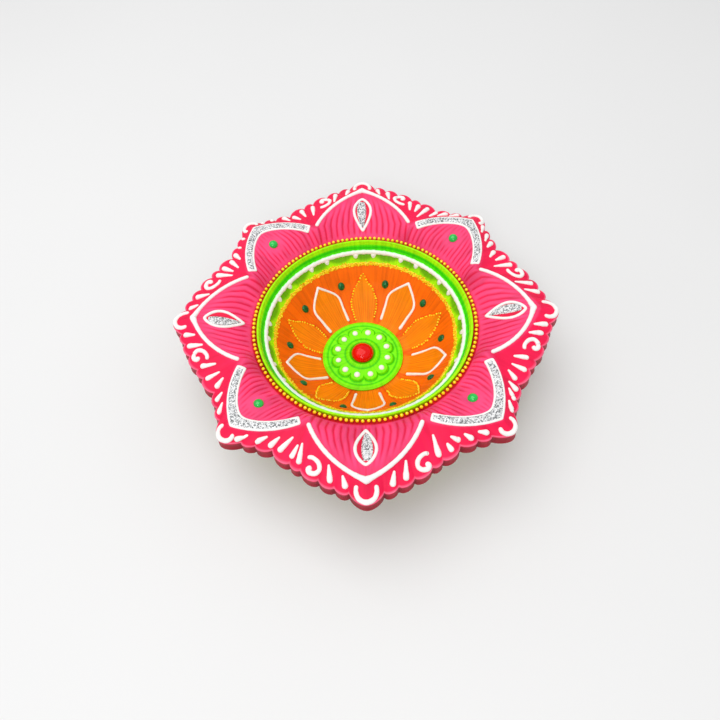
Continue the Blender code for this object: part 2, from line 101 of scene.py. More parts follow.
SCALLOP_DIPS = (4.7, 8.8, 13.6, 19.5, 23.4, 30.2, 35.6, 39.8)
SCALLOP_VALLEY = 0.0006
TIP_EASE = 2.0
TIP_FILL = 0.0010
LONG_FULLNESS = 1.94
SHORT_FULLNESS = 3.2
SIDE_WAIST = 0.0004
RIM_COLUMNS = 1080
DISH_ROWS = 44
HEM_ROWS = 22
ROUND_ROWS = 5
SIDE_ROWS = 5
UNDER_ROWS = 8

# Combed grooves of the petals
LONG_LINES = 16
SHORT_LINES = 19
COMB_FOLLOW = 0.55
COMB_WIDTH = 0.17
COMB_DEPTH = 0.00045
COMB_WOBBLE = 0.03
WOBBLE_OUTWARD = 700.0
WOBBLE_ACROSS = 9.0
COMB_START = (0.02, 0.14)
LONG_FADE = (0.62, 0.96)
SHORT_FADE = (0.52, 0.84)

# Almonds and stones on the rim
LEAF_LINE_WIDTH = 0.0016
LEAF_START = LEAF_LOW.x + 0.5 * LEAF_LINE_WIDTH
LEAF_END = LEAF_HIGH.x - 0.5 * LEAF_LINE_WIDTH
LEAF_WIDTH = LEAF_HIGH.y - LEAF_LOW.y - LEAF_LINE_WIDTH
LEAF_LEAN = 1.28
LEAF_FULLNESS = 0.72
LEAF_FADE = (-0.0006, 0.0004)
LEAF_STEPS = 41
LEAF_STRIP_SPAN = (0.10, 0.90)
LEAF_STRIP_STEPS = 49
LEAF_STRIP_HEIGHT = 0.0008
LEAF_STRIP_SHARE = 0.56
LEAF_STRIP_SHIFTS = (0.22, 0.10, 0.24, 0.14)
RIM_GEM_REACH = 0.41
RIM_GEM_RADIUS = 0.0025
RIM_GEM_HEIGHT = 0.0019
GEM_PATCH = (0.0040, 0.0075)

# The bowl's inner wall as share of depth and share of reach
WALL_SHAPE = (
    (0.0, 1.0), (0.07, 0.97), (0.17, 0.91), (0.25, 0.83), (0.34, 0.75), (0.45, 0.66),
    (0.58, 0.56), (0.71, 0.43), (0.83, 0.27), (0.93, 0.12), (1.0, 0.0),
)
WALL_SAMPLES = 481
# Samples on each side over which a corner is eased
WALL_EASE = 20
FLOOR_Z = 0.0055
FLOOR_SHARES = (0.0, 0.5, 0.9)
BOWL_DEPTH = LIP_Z - FLOOR_Z
FLOOR_RADIUS = 0.02514
BOWL_WALL = 0.0060
# Start and end of the lip's round, in radians
LIP_TURN = (0.3, math.pi)
LIP_STEPS = 8
SHOULDER_RADIUS = BOWL_HIGH.x
SHOULDER_Z = SEAT_Z - PLATE_THICKNESS - GAP
SHOULDER_HEIGHT = 0.0015
SHOULDER_BEVEL = 0.0004
OUTSIDE_STEP = 24
BOWL_FOOT_RADIUS = 0.0290
BOWL_FOOT_HEIGHT = 0.0030
BOWL_FOOT_BEVEL = 0.0006
BOWL_FOOT_MARGIN = 0.0005
BOWL_COLUMNS = 720
WALL_ROWS = 100
BOWL_SHARP_ANGLE = 50.0

# Rings, petals and stones in the bowl, with depths under the lip, and the beads round its mouth
WHITE_RING_DEPTH = 0.0058
WHITE_RING_WIDTH = 0.0026
TOOTH_REPEATS = 12
TOOTH_PLACES = (0.31, 0.69)
TOOTH_SPAN = (-0.0007, 0.0027)
TOOTH_STEPS = 9
TOOTH_WIDTHS = (0.0044, 0.0042, 0.0028, 0.0014)
TOOTH_SWING = 0.5
GOLD_RING_DEPTH = 0.0110
GOLD_RING_WIDTH = 0.0024
GOLD_BED_WIDTH = 0.85 * GOLD_RING_WIDTH
GOLD_GRAINS = 560
GRAIN_SPREAD = 0.28 * GOLD_RING_WIDTH
GRAIN_LIMIT = 1.5
GRAIN_SWING = 0.25
GRAIN_SIZES = (0.00040, 0.00066)
PETAL_COUNT = 10
PETAL_TURN = 271.2
PETAL_FOOT_GAP = 0.0006
PETAL_START = FLOOR_RADIUS + PETAL_FOOT_GAP
PETAL_TIP_MARGIN = 0.0040
WHITE_PETAL_WIDTH = 0.0172
GOLD_PETAL_WIDTH = 0.0150
WHITE_PETAL_LINE = ((0.0, 0.76), (0.35, 0.90), (0.65, 1.0), (0.83, 0.62), (1.0, 0.0))
GOLD_PETAL_LINE = ((0.0, 0.72), (0.25, 0.92), (0.45, 1.0), (0.70, 0.74), (0.87, 0.34), (1.0, 0.0))
WHITE_LINE_WIDTHS = (0.0019, 0.0015, 0.0014, 0.0016, 0.0014, 0.0015, 0.0019)
PETAL_GRAIN_PITCH = 0.00125
PETAL_GRAIN_SLIP = 0.00012
PETAL_GRAIN_SIZES = (0.00052, 0.00078)
PETAL_RELIEF = 0.0006
RELIEF_FADE = (-0.0006, 0.0008)
PETAL_LINE_SPACING = 2.4
BOWL_GEM_REACH = 0.85
# Half width, half length and height
BOWL_GEM_SIZES = (0.0020, 0.0025, 0.0014)
BEAD_PITCH = 0.00265
BEAD_RADIUS = 0.00090
BEAD_SPREAD = (0.93, 1.03)
BEAD_SLIP = 0.00008
BEAD_SWING = 0.08

# The medallion. Ridges and creases have a height, a place and a width
DISC_X = 0.5 * (DISC_LOW.x + DISC_HIGH.x)
DISC_Y = 0.5 * (DISC_LOW.y + DISC_HIGH.y)
DISC_RADIUS = 0.5 * (DISC_HIGH.x - DISC_LOW.x)
DISC_BOTTOM = DISC_LOW.z
DISC_EDGE = 0.0014
DISC_CROWN = 0.0024
DISC_LOBES = 12
DISC_LOBE_TURN = 17.0
LOBE_REACH = (0.63, 0.78)
LOBE_STEP = (-0.0005, 0.0008)
LOBE_RIDGE = (0.0002, 0.0007, 0.0006)
LOBE_CREASE = (-0.0003, -0.0007, 0.0005)
BORDER_CREASE = (-0.0003, 0.87, 0.018)
BORDER_RIDGE = (0.0003, 0.93, 0.030)
BORDER_FALL = 0.0005
BORDER_FADE = (0.95, 1.0)
COLLAR_RADIUS = 0.0080
COLLAR_WIDTH = 0.0011
COLLAR_HEIGHT = 0.0011
DOT_CIRCLE = 0.0143
DOT_RADIUS = 0.0016
DOT_LENGTH = 1.05
DOT_HEIGHT = 0.62
DOT_BUMP = (0.0004, 0.0, 0.0019)
DOME_RADIUS = 0.5 * (DOME_HIGH.x - DOME_LOW.x)
DISC_COLUMNS = 360
DISC_ROWS = 70
DISC_SHARP_ANGLE = 60.0

# Hem strokes from a long point on: start outside the crest, end inside the edge, and lean in degrees
STROKES = (
    (0.0030, 0.0024, 1.3), (0.0032, 0.0024, 1.4), (0.0080, 0.0030, 1.5), (0.0108, 0.0022, -0.3),
    (0.0064, 0.0030, -2.2), (0.0040, 0.0021, -1.5), (0.0030, 0.0021, -2.6), (0.0022, 0.0021, -2.6),
)
# For each half petal: the long point's axis, the side, the curl's angle and where the strokes end
HALF_PETALS = (
    (0, 1, 17, (7, 11, 21, 25.5, 29.5, 33.5, 37.5, 41.5)),
    (0, -1, 14.5, (5.5, 9, 19.5, 24.5, 29.5, 33, 36.5, 40.5)),
    (90, 1, 15, (5, 10, 20, 25, 29.5, 33, 37, 40.5)),
    (90, -1, 15, (5.5, 9.5, 19, 23, 27, 31, 35, 39)),
    (180, 1, 15, (5.5, 10, 19, 24.5, 29.5, 34, 38.5)),
    (180, -1, 16, (4.5, 9.5, 20.5, 24.5, 28.5, 32, 35.5, 39.5)),
    (270, 1, 17.5, (7, 11, 22.5, 27, 31, 34.5, 39.5)),
    (270, -1, 16, (5.5, 10, 20.5, 23.5, 28, 31.5, 36, 41.5)),
)
# The short point whose last strokes are round dots
DOTTED_AXIS = 135.0
DOTTED_REACH = 10.0
# Half width, half length and height
HEM_DOT_SIZES = (0.00115, 0.00138, 0.0010)
TEAR_WIDTH = 0.0030
TEAR_NECK = 0.0010
TEAR_SHARES = (0.62, 0.9, 1.0)
CURL_RADIUS = 0.0850
# Curl seen from its middle, in millimetres: along the edge away from the long point, and outwards
CURL_PATH = (
    (3.7, -3.1), (1.2, -3.3), (-1.9, -1.7), (-3.2, 1.0), (-1.8, 3.1), (0.7, 3.3), (1.8, 1.9), (0.3, 1.0),
)
CURL_WIDTHS = (0.0019, 0.0021, 0.0022, 0.0024, 0.0027)
# Loops seen from the star's middle, in millimetres: aside and outwards, for the long and the short points
LONG_LOOP = ((-4.3, 91.4), (-4.5, 94.4), (-3.2, 97.2), (0.0, 98.6), (3.2, 97.2), (4.5, 94.4), (4.3, 91.4))
SHORT_LOOP = ((-3.5, 89.4), (-4.0, 91.6), (-2.8, 93.8), (0.0, 94.9), (2.8, 93.8), (4.0, 91.6), (3.5, 89.4))
LOOP_WIDTH = 0.0022
LOOP_SHARES = (0.9, 1.0, 1.05, 1.1, 1.05, 1.0, 0.9)
ARCH_WIDTH = 0.0021
ARCH_APEX_WIDTH = 0.0036
ARCH_APEX_SHARPNESS = 14
ARCH_END_MARGIN = 0.6
ARCH_REACH = FOOT_ANGLE - ARCH_END_MARGIN
ARCH_APEX_SHIFTS = (-0.0032, -0.0004, -0.0012, 0.0003)
ARCH_SHIFT_FALL = 1.5
ARCH_STEPS = 121
CRESCENT_INSET = 0.0006
CRESCENT_END_MARGIN = 2.4
CRESCENT_REACH = EIGHTH_TURN - FOOT_ANGLE - CRESCENT_END_MARGIN
CRESCENT_WIDTH = 0.0032
CRESCENT_HEIGHT = 0.0009
CRESCENT_EASE = 3.8
CRESCENT_STEPS = 141
BORDER_WIDTH = 0.0014

# How piped lines, glitter pads and domes are built
PATH_STEPS = 10
PIPE_STEP = 0.0004
PIPE_SINK = 0.00025
PIPE_TOP_SINK = 0.3 * PIPE_SINK
PIPE_SIDES = 9
PIPE_FOOT = 0.8
PIPE_FOOT_DEPTH = 0.4
PIPE_END_TURN = (2.0, 90.0)
PIPE_END_STEPS = 6
RIPPLE_LENGTH = 0.006
PAD_ROWS = 11
PAD_GRAIN = 0.00010
PAD_SINK = 0.0003
PAD_ENDS = 12.0
DOME_SINK = 0.0003
DOME_FOOT = 0.9
SLOPE_STEP = 0.0002
WELD_DISTANCE = 1e-7

# The camera that fits the photo's view, and the light
CAMERA_PLACE = (0.006622, -0.179357, 0.290354)
CAMERA_TURN = (31.736, 2.348, -0.463)
CAMERA_LENS = 29.41
CAMERA_NEAR = 0.01
FLOOR_SIZE = 6.0
WORLD_STRENGTH = 0.60
# Name, place, size and power
LIGHTS = (
    ("key_light", (-0.25, 0.15, 1.1), 1.1, 6.6),
    ("fill_light", (-0.12, -0.70, 0.80), 0.35, 2.2),
)

chance = np.random.default_rng(SEED)


def srgb(red, green, blue):
    """Linear colour of a display colour written from 0 to 255"""
    share = np.array((red, green, blue)) / 255.0
    return np.where(share <= 0.04045, share / 12.92, ((share + 0.055) / 1.055) ** 2.4)


def smoothstep(low, high, value):
    share = np.clip((value - low) / (high - low), 0.0, 1.0)
    return share * share * (3.0 - 2.0 * share)


def bell(value, middle, width):
    """1 at the middle, falling off to both sides"""
    return np.exp(-((value - middle) / width) ** 2)


def ridge(value, shape):
    height, middle, width = shape
    return height * bell(value, middle, width)


def mix(low, high, share):
    return low + (high - low) * share


def unit(vectors):
    return vectors / np.linalg.norm(vectors, axis=-1, keepdims=True)


def layered(colour, *layers):
    """Paint over paint: each layer is a colour and a mask with one value a point"""
    for over, mask in layers:
        colour = mix(colour, over, mask[:, None])
    return colour


def polar(radius, degrees):
    angle = np.radians(degrees)
    return np.stack((radius * np.cos(angle), radius * np.sin(angle)), axis=-1)


def to_polar(x, y):
    return np.hypot(x, y), np.degrees(np.arctan2(y, x)) % FULL_TURN


def sideways(plan):
    """A plan direction turned left by a quarter"""
    return np.stack((-plan[..., 1], plan[..., 0]), axis=-1)


# Lines and surface of the star rim
def long_swing(degrees):
    """Angle from the nearest long point, with its sign"""
    return (degrees + EIGHTH_TURN) % QUARTER_TURN - EIGHTH_TURN


def from_long_point(degrees):
    return np.abs(long_swing(degrees))


def star_line(degrees, line):
    """Radius on a line that falls from a star point towards the dip beside it"""
    long_tip, long_reach, short_tip, low, bend = line
    angle = from_long_point(degrees)
    is_long = angle <= long_reach
    tip = np.where(is_long, long_tip, short_tip)
    share = np.where(is_long, angle / long_reach, (EIGHTH_TURN - angle) / (EIGHTH_TURN - long_reach))
    return tip - (tip - low) * (bend * share + (1.0 - bend) * share * share)


def crest_radius(degrees):
    return star_line(degrees, (LONG_CREST, FOOT_ANGLE, SHORT_CREST, FOOT_RADIUS, PETAL_STRAIGHTNESS))


def scallop(degrees):
    """How full a scallop is at an angle, from 0 at a dip to 1 at its middle, and its size"""
    angle = from_long_point(degrees)
    bounds = np.array((-SCALLOP_DIPS[0], *SCALLOP_DIPS, QUARTER_TURN - SCALLOP_DIPS[-1]))
    number = np.clip(np.searchsorted(bounds, angle, side="right") - 1, 0, len(bounds) - 2)
    wide = bounds[number + 1] - bounds[number]
    across = 2.0 * (angle - bounds[number]) / wide - 1.0
    return (1.0 - across * across) ** SCALLOP_FULLNESS, np.sqrt(wide / (2.0 * SCALLOP_DIPS[0]))


def edge_radius(degrees):
    full, size = scallop(degrees)
    long_tip = TIP_RADIUS - SCALLOP_DEPTH
    short_tip = DIAGONAL_TIP_RADIUS - SCALLOP_DEPTH
    swing = (degrees + 0.5 * EIGHTH_TURN) % EIGHTH_TURN - 0.5 * EIGHTH_TURN
    eased = degrees - swing + np.hypot(swing, TIP_EASE)
    line = star_line(eased, (long_tip, NOTCH_ANGLE, short_tip, NOTCH_RADIUS, NOTCH_BEND))
    fill = TIP_FILL * np.clip(1.0 - (swing / SCALLOP_DIPS[0]) ** 2, 0.0, 1.0)
    return line + fill + SCALLOP_DEPTH * size * full


def dish_share(radius, degrees):
    """Share of the way from the bead seat to the crest"""
    return (radius - DISH_RADIUS) / (crest_radius(degrees) - DISH_RADIUS)


def hem_share(radius, degrees):
    """Share of the way from the crest to the edge"""
    crest = crest_radius(degrees)
    return (radius - crest) / (edge_radius(degrees) - EDGE_ROUND - crest)


def rim_height(x, y):
    """Height of the rim's upper side, without the combed grooves"""
    radius, degrees = to_polar(x, y)
    short_share = 0.5 - 0.5 * np.cos(np.pi * from_long_point(degrees) / EIGHTH_TURN)
    fullness = mix(LONG_FULLNESS, SHORT_FULLNESS, short_share)
    up = np.clip(dish_share(radius, degrees), 0.0, 1.0)
    dish = SEAT_Z + DISH_RISE * (1.0 - (1.0 - up) ** fullness)
    out = np.clip(hem_share(radius, degrees), 0.0, 1.0)
    fall = HEM_DROP * ((1.0 - HEM_ROUND) * out + HEM_ROUND * out * out)
    valley = SCALLOP_VALLEY * (1.0 - scallop(degrees)[0]) * out ** 3
    return dish - fall - valley


def leaf_half_width(share):
    return 0.5 * LEAF_WIDTH * np.sin(np.pi * np.clip(share, 0.0, 1.0) ** LEAF_LEAN) ** LEAF_FULLNESS


def leaf_mask(x, y):
    """1 inside the almonds of the long petals"""
    radius, degrees = to_polar(x, y)
    share = (radius - LEAF_START) / (LEAF_END - LEAF_START)
    inside = leaf_half_width(share) - np.abs(radius * np.radians(long_swing(degrees)))
    return smoothstep(*LEAF_FADE, inside)


def rim_gem_place(axis):
    return polar(mix(DISH_RADIUS, SHORT_CREST, RIM_GEM_REACH), axis)


def gem_mask(x, y):
    """1 on the smooth patch round the stones of the short petals"""
    radius, degrees = to_polar(x, y)
    offset = polar(radius, degrees % QUARTER_TURN) - rim_gem_place(EIGHTH_TURN)
    return 1.0 - smoothstep(*GEM_PATCH, np.linalg.norm(offset, axis=-1))


def comb_groove(x, y):
    """Combed grooves along the petals, from 0 on a ridge to 1 in a groove"""
    radius, degrees = to_polar(x, y)
    is_long = from_long_point(degrees) <= FOOT_ANGLE
    swing = np.where(is_long, long_swing(degrees), degrees % QUARTER_TURN - EIGHTH_TURN)
    widest = np.where(is_long, FOOT_ANGLE, EIGHTH_TURN - FOOT_ANGLE)
    tip = np.where(is_long, LONG_CREST, SHORT_CREST)
    left = np.clip((tip - radius) / (tip - FOOT_RADIUS), 0.0, 1.0)
    curve = 1.0 - PETAL_STRAIGHTNESS
    share = (np.sqrt(PETAL_STRAIGHTNESS ** 2 + 4.0 * curve * left) - PETAL_STRAIGHTNESS) / (2.0 * curve)
    foot_half = FOOT_RADIUS * np.sin(np.radians(widest))
    half = radius * np.sin(np.radians(share * widest))
    across = radius * np.sin(np.radians(swing)) / mix(foot_half, half, COMB_FOLLOW)
    wobble = COMB_WOBBLE * np.sin(WOBBLE_OUTWARD * radius + WOBBLE_ACROSS * across)
    phase = across * np.where(is_long, LONG_LINES, SHORT_LINES) / 2.0 + wobble
    groove = bell(phase % 1.0, 0.5, COMB_WIDTH)
    up = dish_share(radius, degrees)
    long_fade = 1.0 - smoothstep(*LONG_FADE, up)
    short_fade = 1.0 - smoothstep(*SHORT_FADE, up)
    groove = groove * np.where(is_long, long_fade, short_fade) * smoothstep(*COMB_START, up)
    return groove * (1.0 - leaf_mask(x, y)) * (1.0 - gem_mask(x, y))


def combed_height(x, y):
    return rim_height(x, y) - COMB_DEPTH * comb_groove(x, y)


# Lines and surface of the bowl
def smooth_wall():
    """The inner wall as rising radii and heights, with its corners eased"""
    depth, reach = np.array(WALL_SHAPE).T
    fine = np.linspace(0.0, 1.0, WALL_SAMPLES)
    kernel = np.hanning(2 * WALL_EASE + 1)
    padded = np.pad(np.interp(fine, depth, reach), WALL_EASE, mode="reflect", reflect_type="odd")
    eased = np.convolve(padded, kernel / kernel.sum(), mode="valid")
    radius = mix(FLOOR_RADIUS, MOUTH_RADIUS, eased)
    return radius[::-1], (LIP_Z - BOWL_DEPTH * fine)[::-1]


WALL_RADII, WALL_HEIGHTS = smooth_wall()


def wall_radius(depth):
    """Radius of the inner wall at a depth under the lip"""
    return np.interp(LIP_Z - depth, WALL_HEIGHTS, WALL_RADII)


def wall_height(radius):
    return np.interp(radius, WALL_RADII, WALL_HEIGHTS)


PETAL_END = wall_radius(GOLD_RING_DEPTH + 0.5 * GOLD_RING_WIDTH + PETAL_TIP_MARGIN)


def bowl_petal_inside(x, y):
    """How far a point lies inside the outline of the nearest petal of the bowl, below 0 outside"""
    radius, degrees = to_polar(x, y)
    spacing = FULL_TURN / PETAL_COUNT
    number = np.round((degrees - PETAL_TURN) / spacing)
    swing = degrees - PETAL_TURN - number * spacing
    share = (radius - PETAL_START) / (PETAL_END - PETAL_START)
    white = 0.5 * WHITE_PETAL_WIDTH * np.interp(share, *np.array(WHITE_PETAL_LINE).T)
    gold = 0.5 * GOLD_PETAL_WIDTH * np.interp(share, *np.array(GOLD_PETAL_LINE).T)
    half = np.where(number % 2 == 0, white, gold)
    inside = half - np.abs(radius * np.radians(swing))
    return np.where(share > 1.0, -1.0, inside)


def bowl_height(x, y):
    """Height of the bowl's inside, with the raised petals"""
    relief = PETAL_RELIEF * smoothstep(*RELIEF_FADE, bowl_petal_inside(x, y))
    return wall_height(np.hypot(x, y)) + relief


def bowl_outside():
    """The bowl from its lip over the outside to the middle of the foot, as radii and heights"""
    lip = 0.5 * LIP_WIDTH
    line = []
    for angle in np.linspace(*LIP_TURN, LIP_STEPS):
        line.append((MOUTH_RADIUS + lip * (1.0 - math.cos(angle)), LIP_Z + 0.5 * lip * math.sin(angle)))
    line += [
        (LIP_RADIUS, SHOULDER_Z),
        (SHOULDER_RADIUS - SHOULDER_BEVEL, SHOULDER_Z),
        (SHOULDER_RADIUS, SHOULDER_Z - SHOULDER_BEVEL),
        (SHOULDER_RADIUS, SHOULDER_Z - SHOULDER_HEIGHT),
    ]
    below = WALL_HEIGHTS < SHOULDER_Z - 2.0 * SHOULDER_HEIGHT - 0.5 * BOWL_WALL
    slope = np.gradient(WALL_HEIGHTS) / np.gradient(WALL_RADII)
    lean = np.hypot(1.0, slope)
    radii = (WALL_RADII + BOWL_WALL * slope / lean)[below][::-OUTSIDE_STEP]
    heights = (WALL_HEIGHTS - BOWL_WALL / lean)[below][::-OUTSIDE_STEP]
    keep = heights > BOWL_FOOT_HEIGHT + BOWL_FOOT_MARGIN
    line += zip(radii[keep], heights[keep])
    line += [
        (BOWL_FOOT_RADIUS, BOWL_FOOT_HEIGHT),
        (BOWL_FOOT_RADIUS, BOWL_FOOT_BEVEL),
        (BOWL_FOOT_RADIUS - BOWL_FOOT_BEVEL, 0.0),
        (0.5 * BOWL_FOOT_RADIUS, 0.0),
        (0.0, 0.0),
    ]
    return line


# Lines and surface of the medallion
def lobe_inside(radius, degrees):
    """How far a point lies inside the lobed border of the medallion"""
    spacing = FULL_TURN / DISC_LOBES
    across = 2.0 * (((degrees - DISC_LOBE_TURN) / spacing + 0.5) % 1.0) - 1.0
    return DISC_RADIUS * mix(*LOBE_REACH, np.sqrt(1.0 - across * across)) - radius


def disc_height(x, y):
    """Height of the medallion's upper side"""
    radius, degrees = to_polar(x - DISC_X, y - DISC_Y)
    inside = lobe_inside(radius, degrees)
    height = mix(DISC_EDGE, DISC_CROWN, smoothstep(*LOBE_STEP, inside))
    height = height + ridge(inside, LOBE_RIDGE) + ridge(inside, LOBE_CREASE)
    border = radius / DISC_RADIUS
    height = height + ridge(border, BORDER_CREASE) + ridge(border, BORDER_RIDGE)
    height = height - BORDER_FALL * smoothstep(*BORDER_FADE, border)
    height = height + COLLAR_HEIGHT * bell(radius, COLLAR_RADIUS, COLLAR_WIDTH)
    spacing = FULL_TURN / DISC_LOBES
    swing = (degrees - DISC_LOBE_TURN + 0.5 * spacing) % spacing - 0.5 * spacing
    near = np.hypot(radius - DOT_CIRCLE, radius * np.radians(swing))
    return DISC_BOTTOM + height + ridge(near, DOT_BUMP)


# Mesh helpers: a shell is a list of points and a list of faces
def grid_shell(points, closed=False):
    """Shell over rows of loops, with the last row joined to the first one if it is closed"""
    rows, columns = points.shape[:2]
    row, column = np.meshgrid(np.arange(rows if closed else rows - 1), np.arange(columns), indexing="ij")
    next_row = (row + 1) % rows
    next_column = (column + 1) % columns
    corners = (row * columns + column, row * columns + next_column,
               next_row * columns + next_column, next_row * columns + column)
    faces = np.stack(corners, axis=-1).reshape(-1, 4)
    return points.reshape(-1, 3), faces.tolist()


def capped_shell(sections):
    """Shell over rows of loops, with one face at each end"""
    points, faces = grid_shell(sections)
    sides = sections.shape[1]
    return points, [*faces, list(range(sides)), list(range(len(points) - sides, len(points)))]


def round_angles(count):
    return np.arange(count) * FULL_TURN / count


def shares(rows):
    """Even steps above 0 and up to 1"""
    return np.arange(1, rows + 1) / rows


def loop(radius, height, degrees, middle=(0.0, 0.0)):
    """A loop with given radii, at given heights or on a height surface"""
    plan = polar(radius, degrees) + middle
    level = height(*plan.T) if callable(height) else np.broadcast_to(height, degrees.shape)
    return np.column_stack((plan, level))


def add_piece(name, shells, material, slot, *nodes):
    """A piece on the lamp's body from closed shells, in place of the solids that it stands for"""
    points = []
    faces = []
    start = 0
    for shell_points, shell_faces in shells:
        points.append(shell_points)
        faces += [[start + corner for corner in face] for face in shell_faces]
        start += len(shell_points)
    mesh = bpy.data.meshes.new(name)
    mesh.from_pydata(np.concatenate(points).tolist(), [], faces)
    shape = bmesh.new()
    shape.from_mesh(mesh)
    bmesh.ops.remove_doubles(shape, verts=shape.verts, dist=WELD_DISTANCE)
    bmesh.ops.recalc_face_normals(shape, faces=shape.faces)
    shape.to_mesh(mesh)
    shape.free()
    mesh.shade_smooth()
    mesh.materials.append(material)
    piece = add_object(name, mesh)
    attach(piece, "root")
    if nodes:
        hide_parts(*nodes)
    return piece


def add_white(name, shells, *nodes):
    add_piece(name, shells, white_paste, "white_paste", *nodes)


def add_object(name, data, place=(0.0, 0.0, 0.0)):
    made = bpy.data.objects.new(name, data)
    made.location = place
    bpy.context.scene.collection.objects.link(made)
    return made


def paint(piece, colour_of):
    """Store a colour at each point, worked out from the point's place"""
    mesh = piece.data
    places = np.empty(3 * len(mesh.vertices))
    mesh.vertices.foreach_get("co", places)
    colours = np.ones((len(mesh.vertices), 4))
    colours[:, :3] = colour_of(*places.reshape(-1, 3).T)
    layer = mesh.attributes.new("paint", "FLOAT_COLOR", "POINT")
    layer.data.foreach_set("color", colours.ravel())


def normal_at(surface, x, y):
    """Upward unit normals of a height surface"""
    slope_x = (surface(x + SLOPE_STEP, y) - surface(x - SLOPE_STEP, y)) / (2.0 * SLOPE_STEP)
    slope_y = (surface(x, y + SLOPE_STEP) - surface(x, y - SLOPE_STEP)) / (2.0 * SLOPE_STEP)
    return unit(np.stack((-slope_x, -slope_y, np.ones_like(slope_x)), axis=-1))


def smooth_path(points):
    """Catmull-Rom curve through plan points"""
    points = np.asarray(points)
    padded = np.concatenate((2 * points[:1] - points[1:2], points, 2 * points[-1:] - points[-2:-1]))
    share = np.linspace(0.0, 1.0, PATH_STEPS, endpoint=False)[:, None]
    path = []
    for first, second, third, fourth in zip(padded, padded[1:], padded[2:], padded[3:]):
        path.append(0.5 * (2 * second + (third - first) * share
                           + (2 * first - 5 * second + 4 * third - fourth) * share ** 2
                           + (3 * second - first - 3 * third + fourth) * share ** 3))
    return np.concatenate((*path, points[-1:]))


def along_path(path):
    """Distance along a plan path at each of its points"""
    return np.concatenate(([0.0], np.cumsum(np.linalg.norm(np.diff(path, axis=0), axis=1))))


def piped(path, widths, surface, closed=False, fullness=0.42, unevenness=0.05):
    """A piped line of paste lying on a surface, with round ends, as a shell"""
    if closed:
        path = np.concatenate((path, path[:1]))
    far = along_path(path)
    length = far[-1]
    if closed:
        places = np.linspace(0.0, length, int(length / PIPE_STEP), endpoint=False)
    else:
        turn = np.radians(np.linspace(*PIPE_END_TURN, PIPE_END_STEPS))
        first = 0.5 * widths[0] * (1.0 - np.cos(turn))
        last = length - 0.5 * widths[-1] * (1.0 - np.cos(turn[::-1]))
        middle = np.linspace(first[-1], last[0], int(length / PIPE_STEP))
        places = np.concatenate((first, middle[1:-1], last))
    x = np.interp(places, far, path[:, 0])
    y = np.interp(places, far, path[:, 1])
    share = places / length
    width = np.interp(share, np.linspace(0.0, 1.0, len(widths)), widths)
    phase = chance.uniform(0.0, 2.0 * np.pi, 2)
    ripples = length / RIPPLE_LENGTH
    turns = 2.0 * np.pi * (np.round(ripples) if closed else ripples)
    ripple = np.sin(turns * share + phase[0]) + np.sin(2.0 * turns * share + phase[1])
    width = width * (1.0 + 0.5 * unevenness * ripple)
    spots = np.stack((x, y, surface(x, y)), axis=-1)
    if closed:
        direction = np.roll(spots, -1, axis=0) - np.roll(spots, 1, axis=0)
    else:
        head = np.clip(places / (0.5 * widths[0]), 0.0, 1.0)
        tail = np.clip((length - places) / (0.5 * widths[-1]), 0.0, 1.0)
        width = width * np.sqrt(1.0 - (1.0 - head) ** 2) * np.sqrt(1.0 - (1.0 - tail) ** 2)
        direction = np.gradient(spots, axis=0)
    normal = normal_at(surface, x, y)
    side = unit(np.cross(normal, direction))
    turn = np.linspace(0.0, np.pi, PIPE_SIDES)
    lateral = np.concatenate((np.cos(turn), (-PIPE_FOOT, PIPE_FOOT)))
    lift = np.concatenate((np.sin(turn), (-PIPE_FOOT_DEPTH, -PIPE_FOOT_DEPTH)))
    sink = np.where(lift < 0.0, PIPE_SINK, PIPE_TOP_SINK)
    half = 0.5 * width[:, None, None]
    section = spots[:, None] + side[:, None] * lateral[:, None] * half
    section = section + normal[:, None] * (lift[:, None] * 2.0 * fullness * half - sink[:, None])
    return grid_shell(section, closed=True) if closed else capped_shell(section)


def pad(first, second, surface, thickness):
    """A glitter pad between two plan lines on a surface, low at its borders, as a shell"""
    share = np.linspace(0.0, 1.0, PAD_ROWS)[:, None, None]
    plan = mix(first[None], second[None], share)
    x = plan[..., 0]
    y = plan[..., 1]
    base = np.stack((x, y, surface(x, y)), axis=-1)
    normal = normal_at(surface, x, y)
    along = np.linspace(0.0, 1.0, len(first))[None]
    fall = np.sqrt(np.clip(1.0 - (2.0 * share[..., 0] - 1.0) ** 4, 0.0, 1.0))
    fall = fall * np.clip(PAD_ENDS * along, 0.0, 1.0) * np.clip(PAD_ENDS * (1.0 - along), 0.0, 1.0)
    rise = (thickness + PAD_GRAIN * chance.normal(size=x.shape)) * fall
    top = base + normal * rise[..., None]
    bottom = base - normal * PAD_SINK
    return capped_shell(np.concatenate((top, bottom[::-1])).swapaxes(0, 1))


def dome(place, normal, along, half_width, half_length, height, rings=6, steps=24, squareness=1.0):
    """A domed drop or stone with its base sunk a little into what carries it, as a shell"""
    side = np.cross(normal, along)
    turn = np.linspace(0.0, 2.0 * np.pi, steps, endpoint=False)[:, None]
    round_way = np.cos(turn) * side * half_width + np.sin(turn) * along * half_length
    levels = [(0.0, -DOME_SINK), (DOME_FOOT, -DOME_SINK)]
    for angle in np.linspace(0.0, 0.5 * np.pi, rings, endpoint=False):
        levels.append((np.cos(angle) ** squareness, height * np.sin(angle)))
    levels.append((0.0, height))
    return grid_shell(np.stack([place + reach * round_way + normal * lift for reach, lift in levels]))


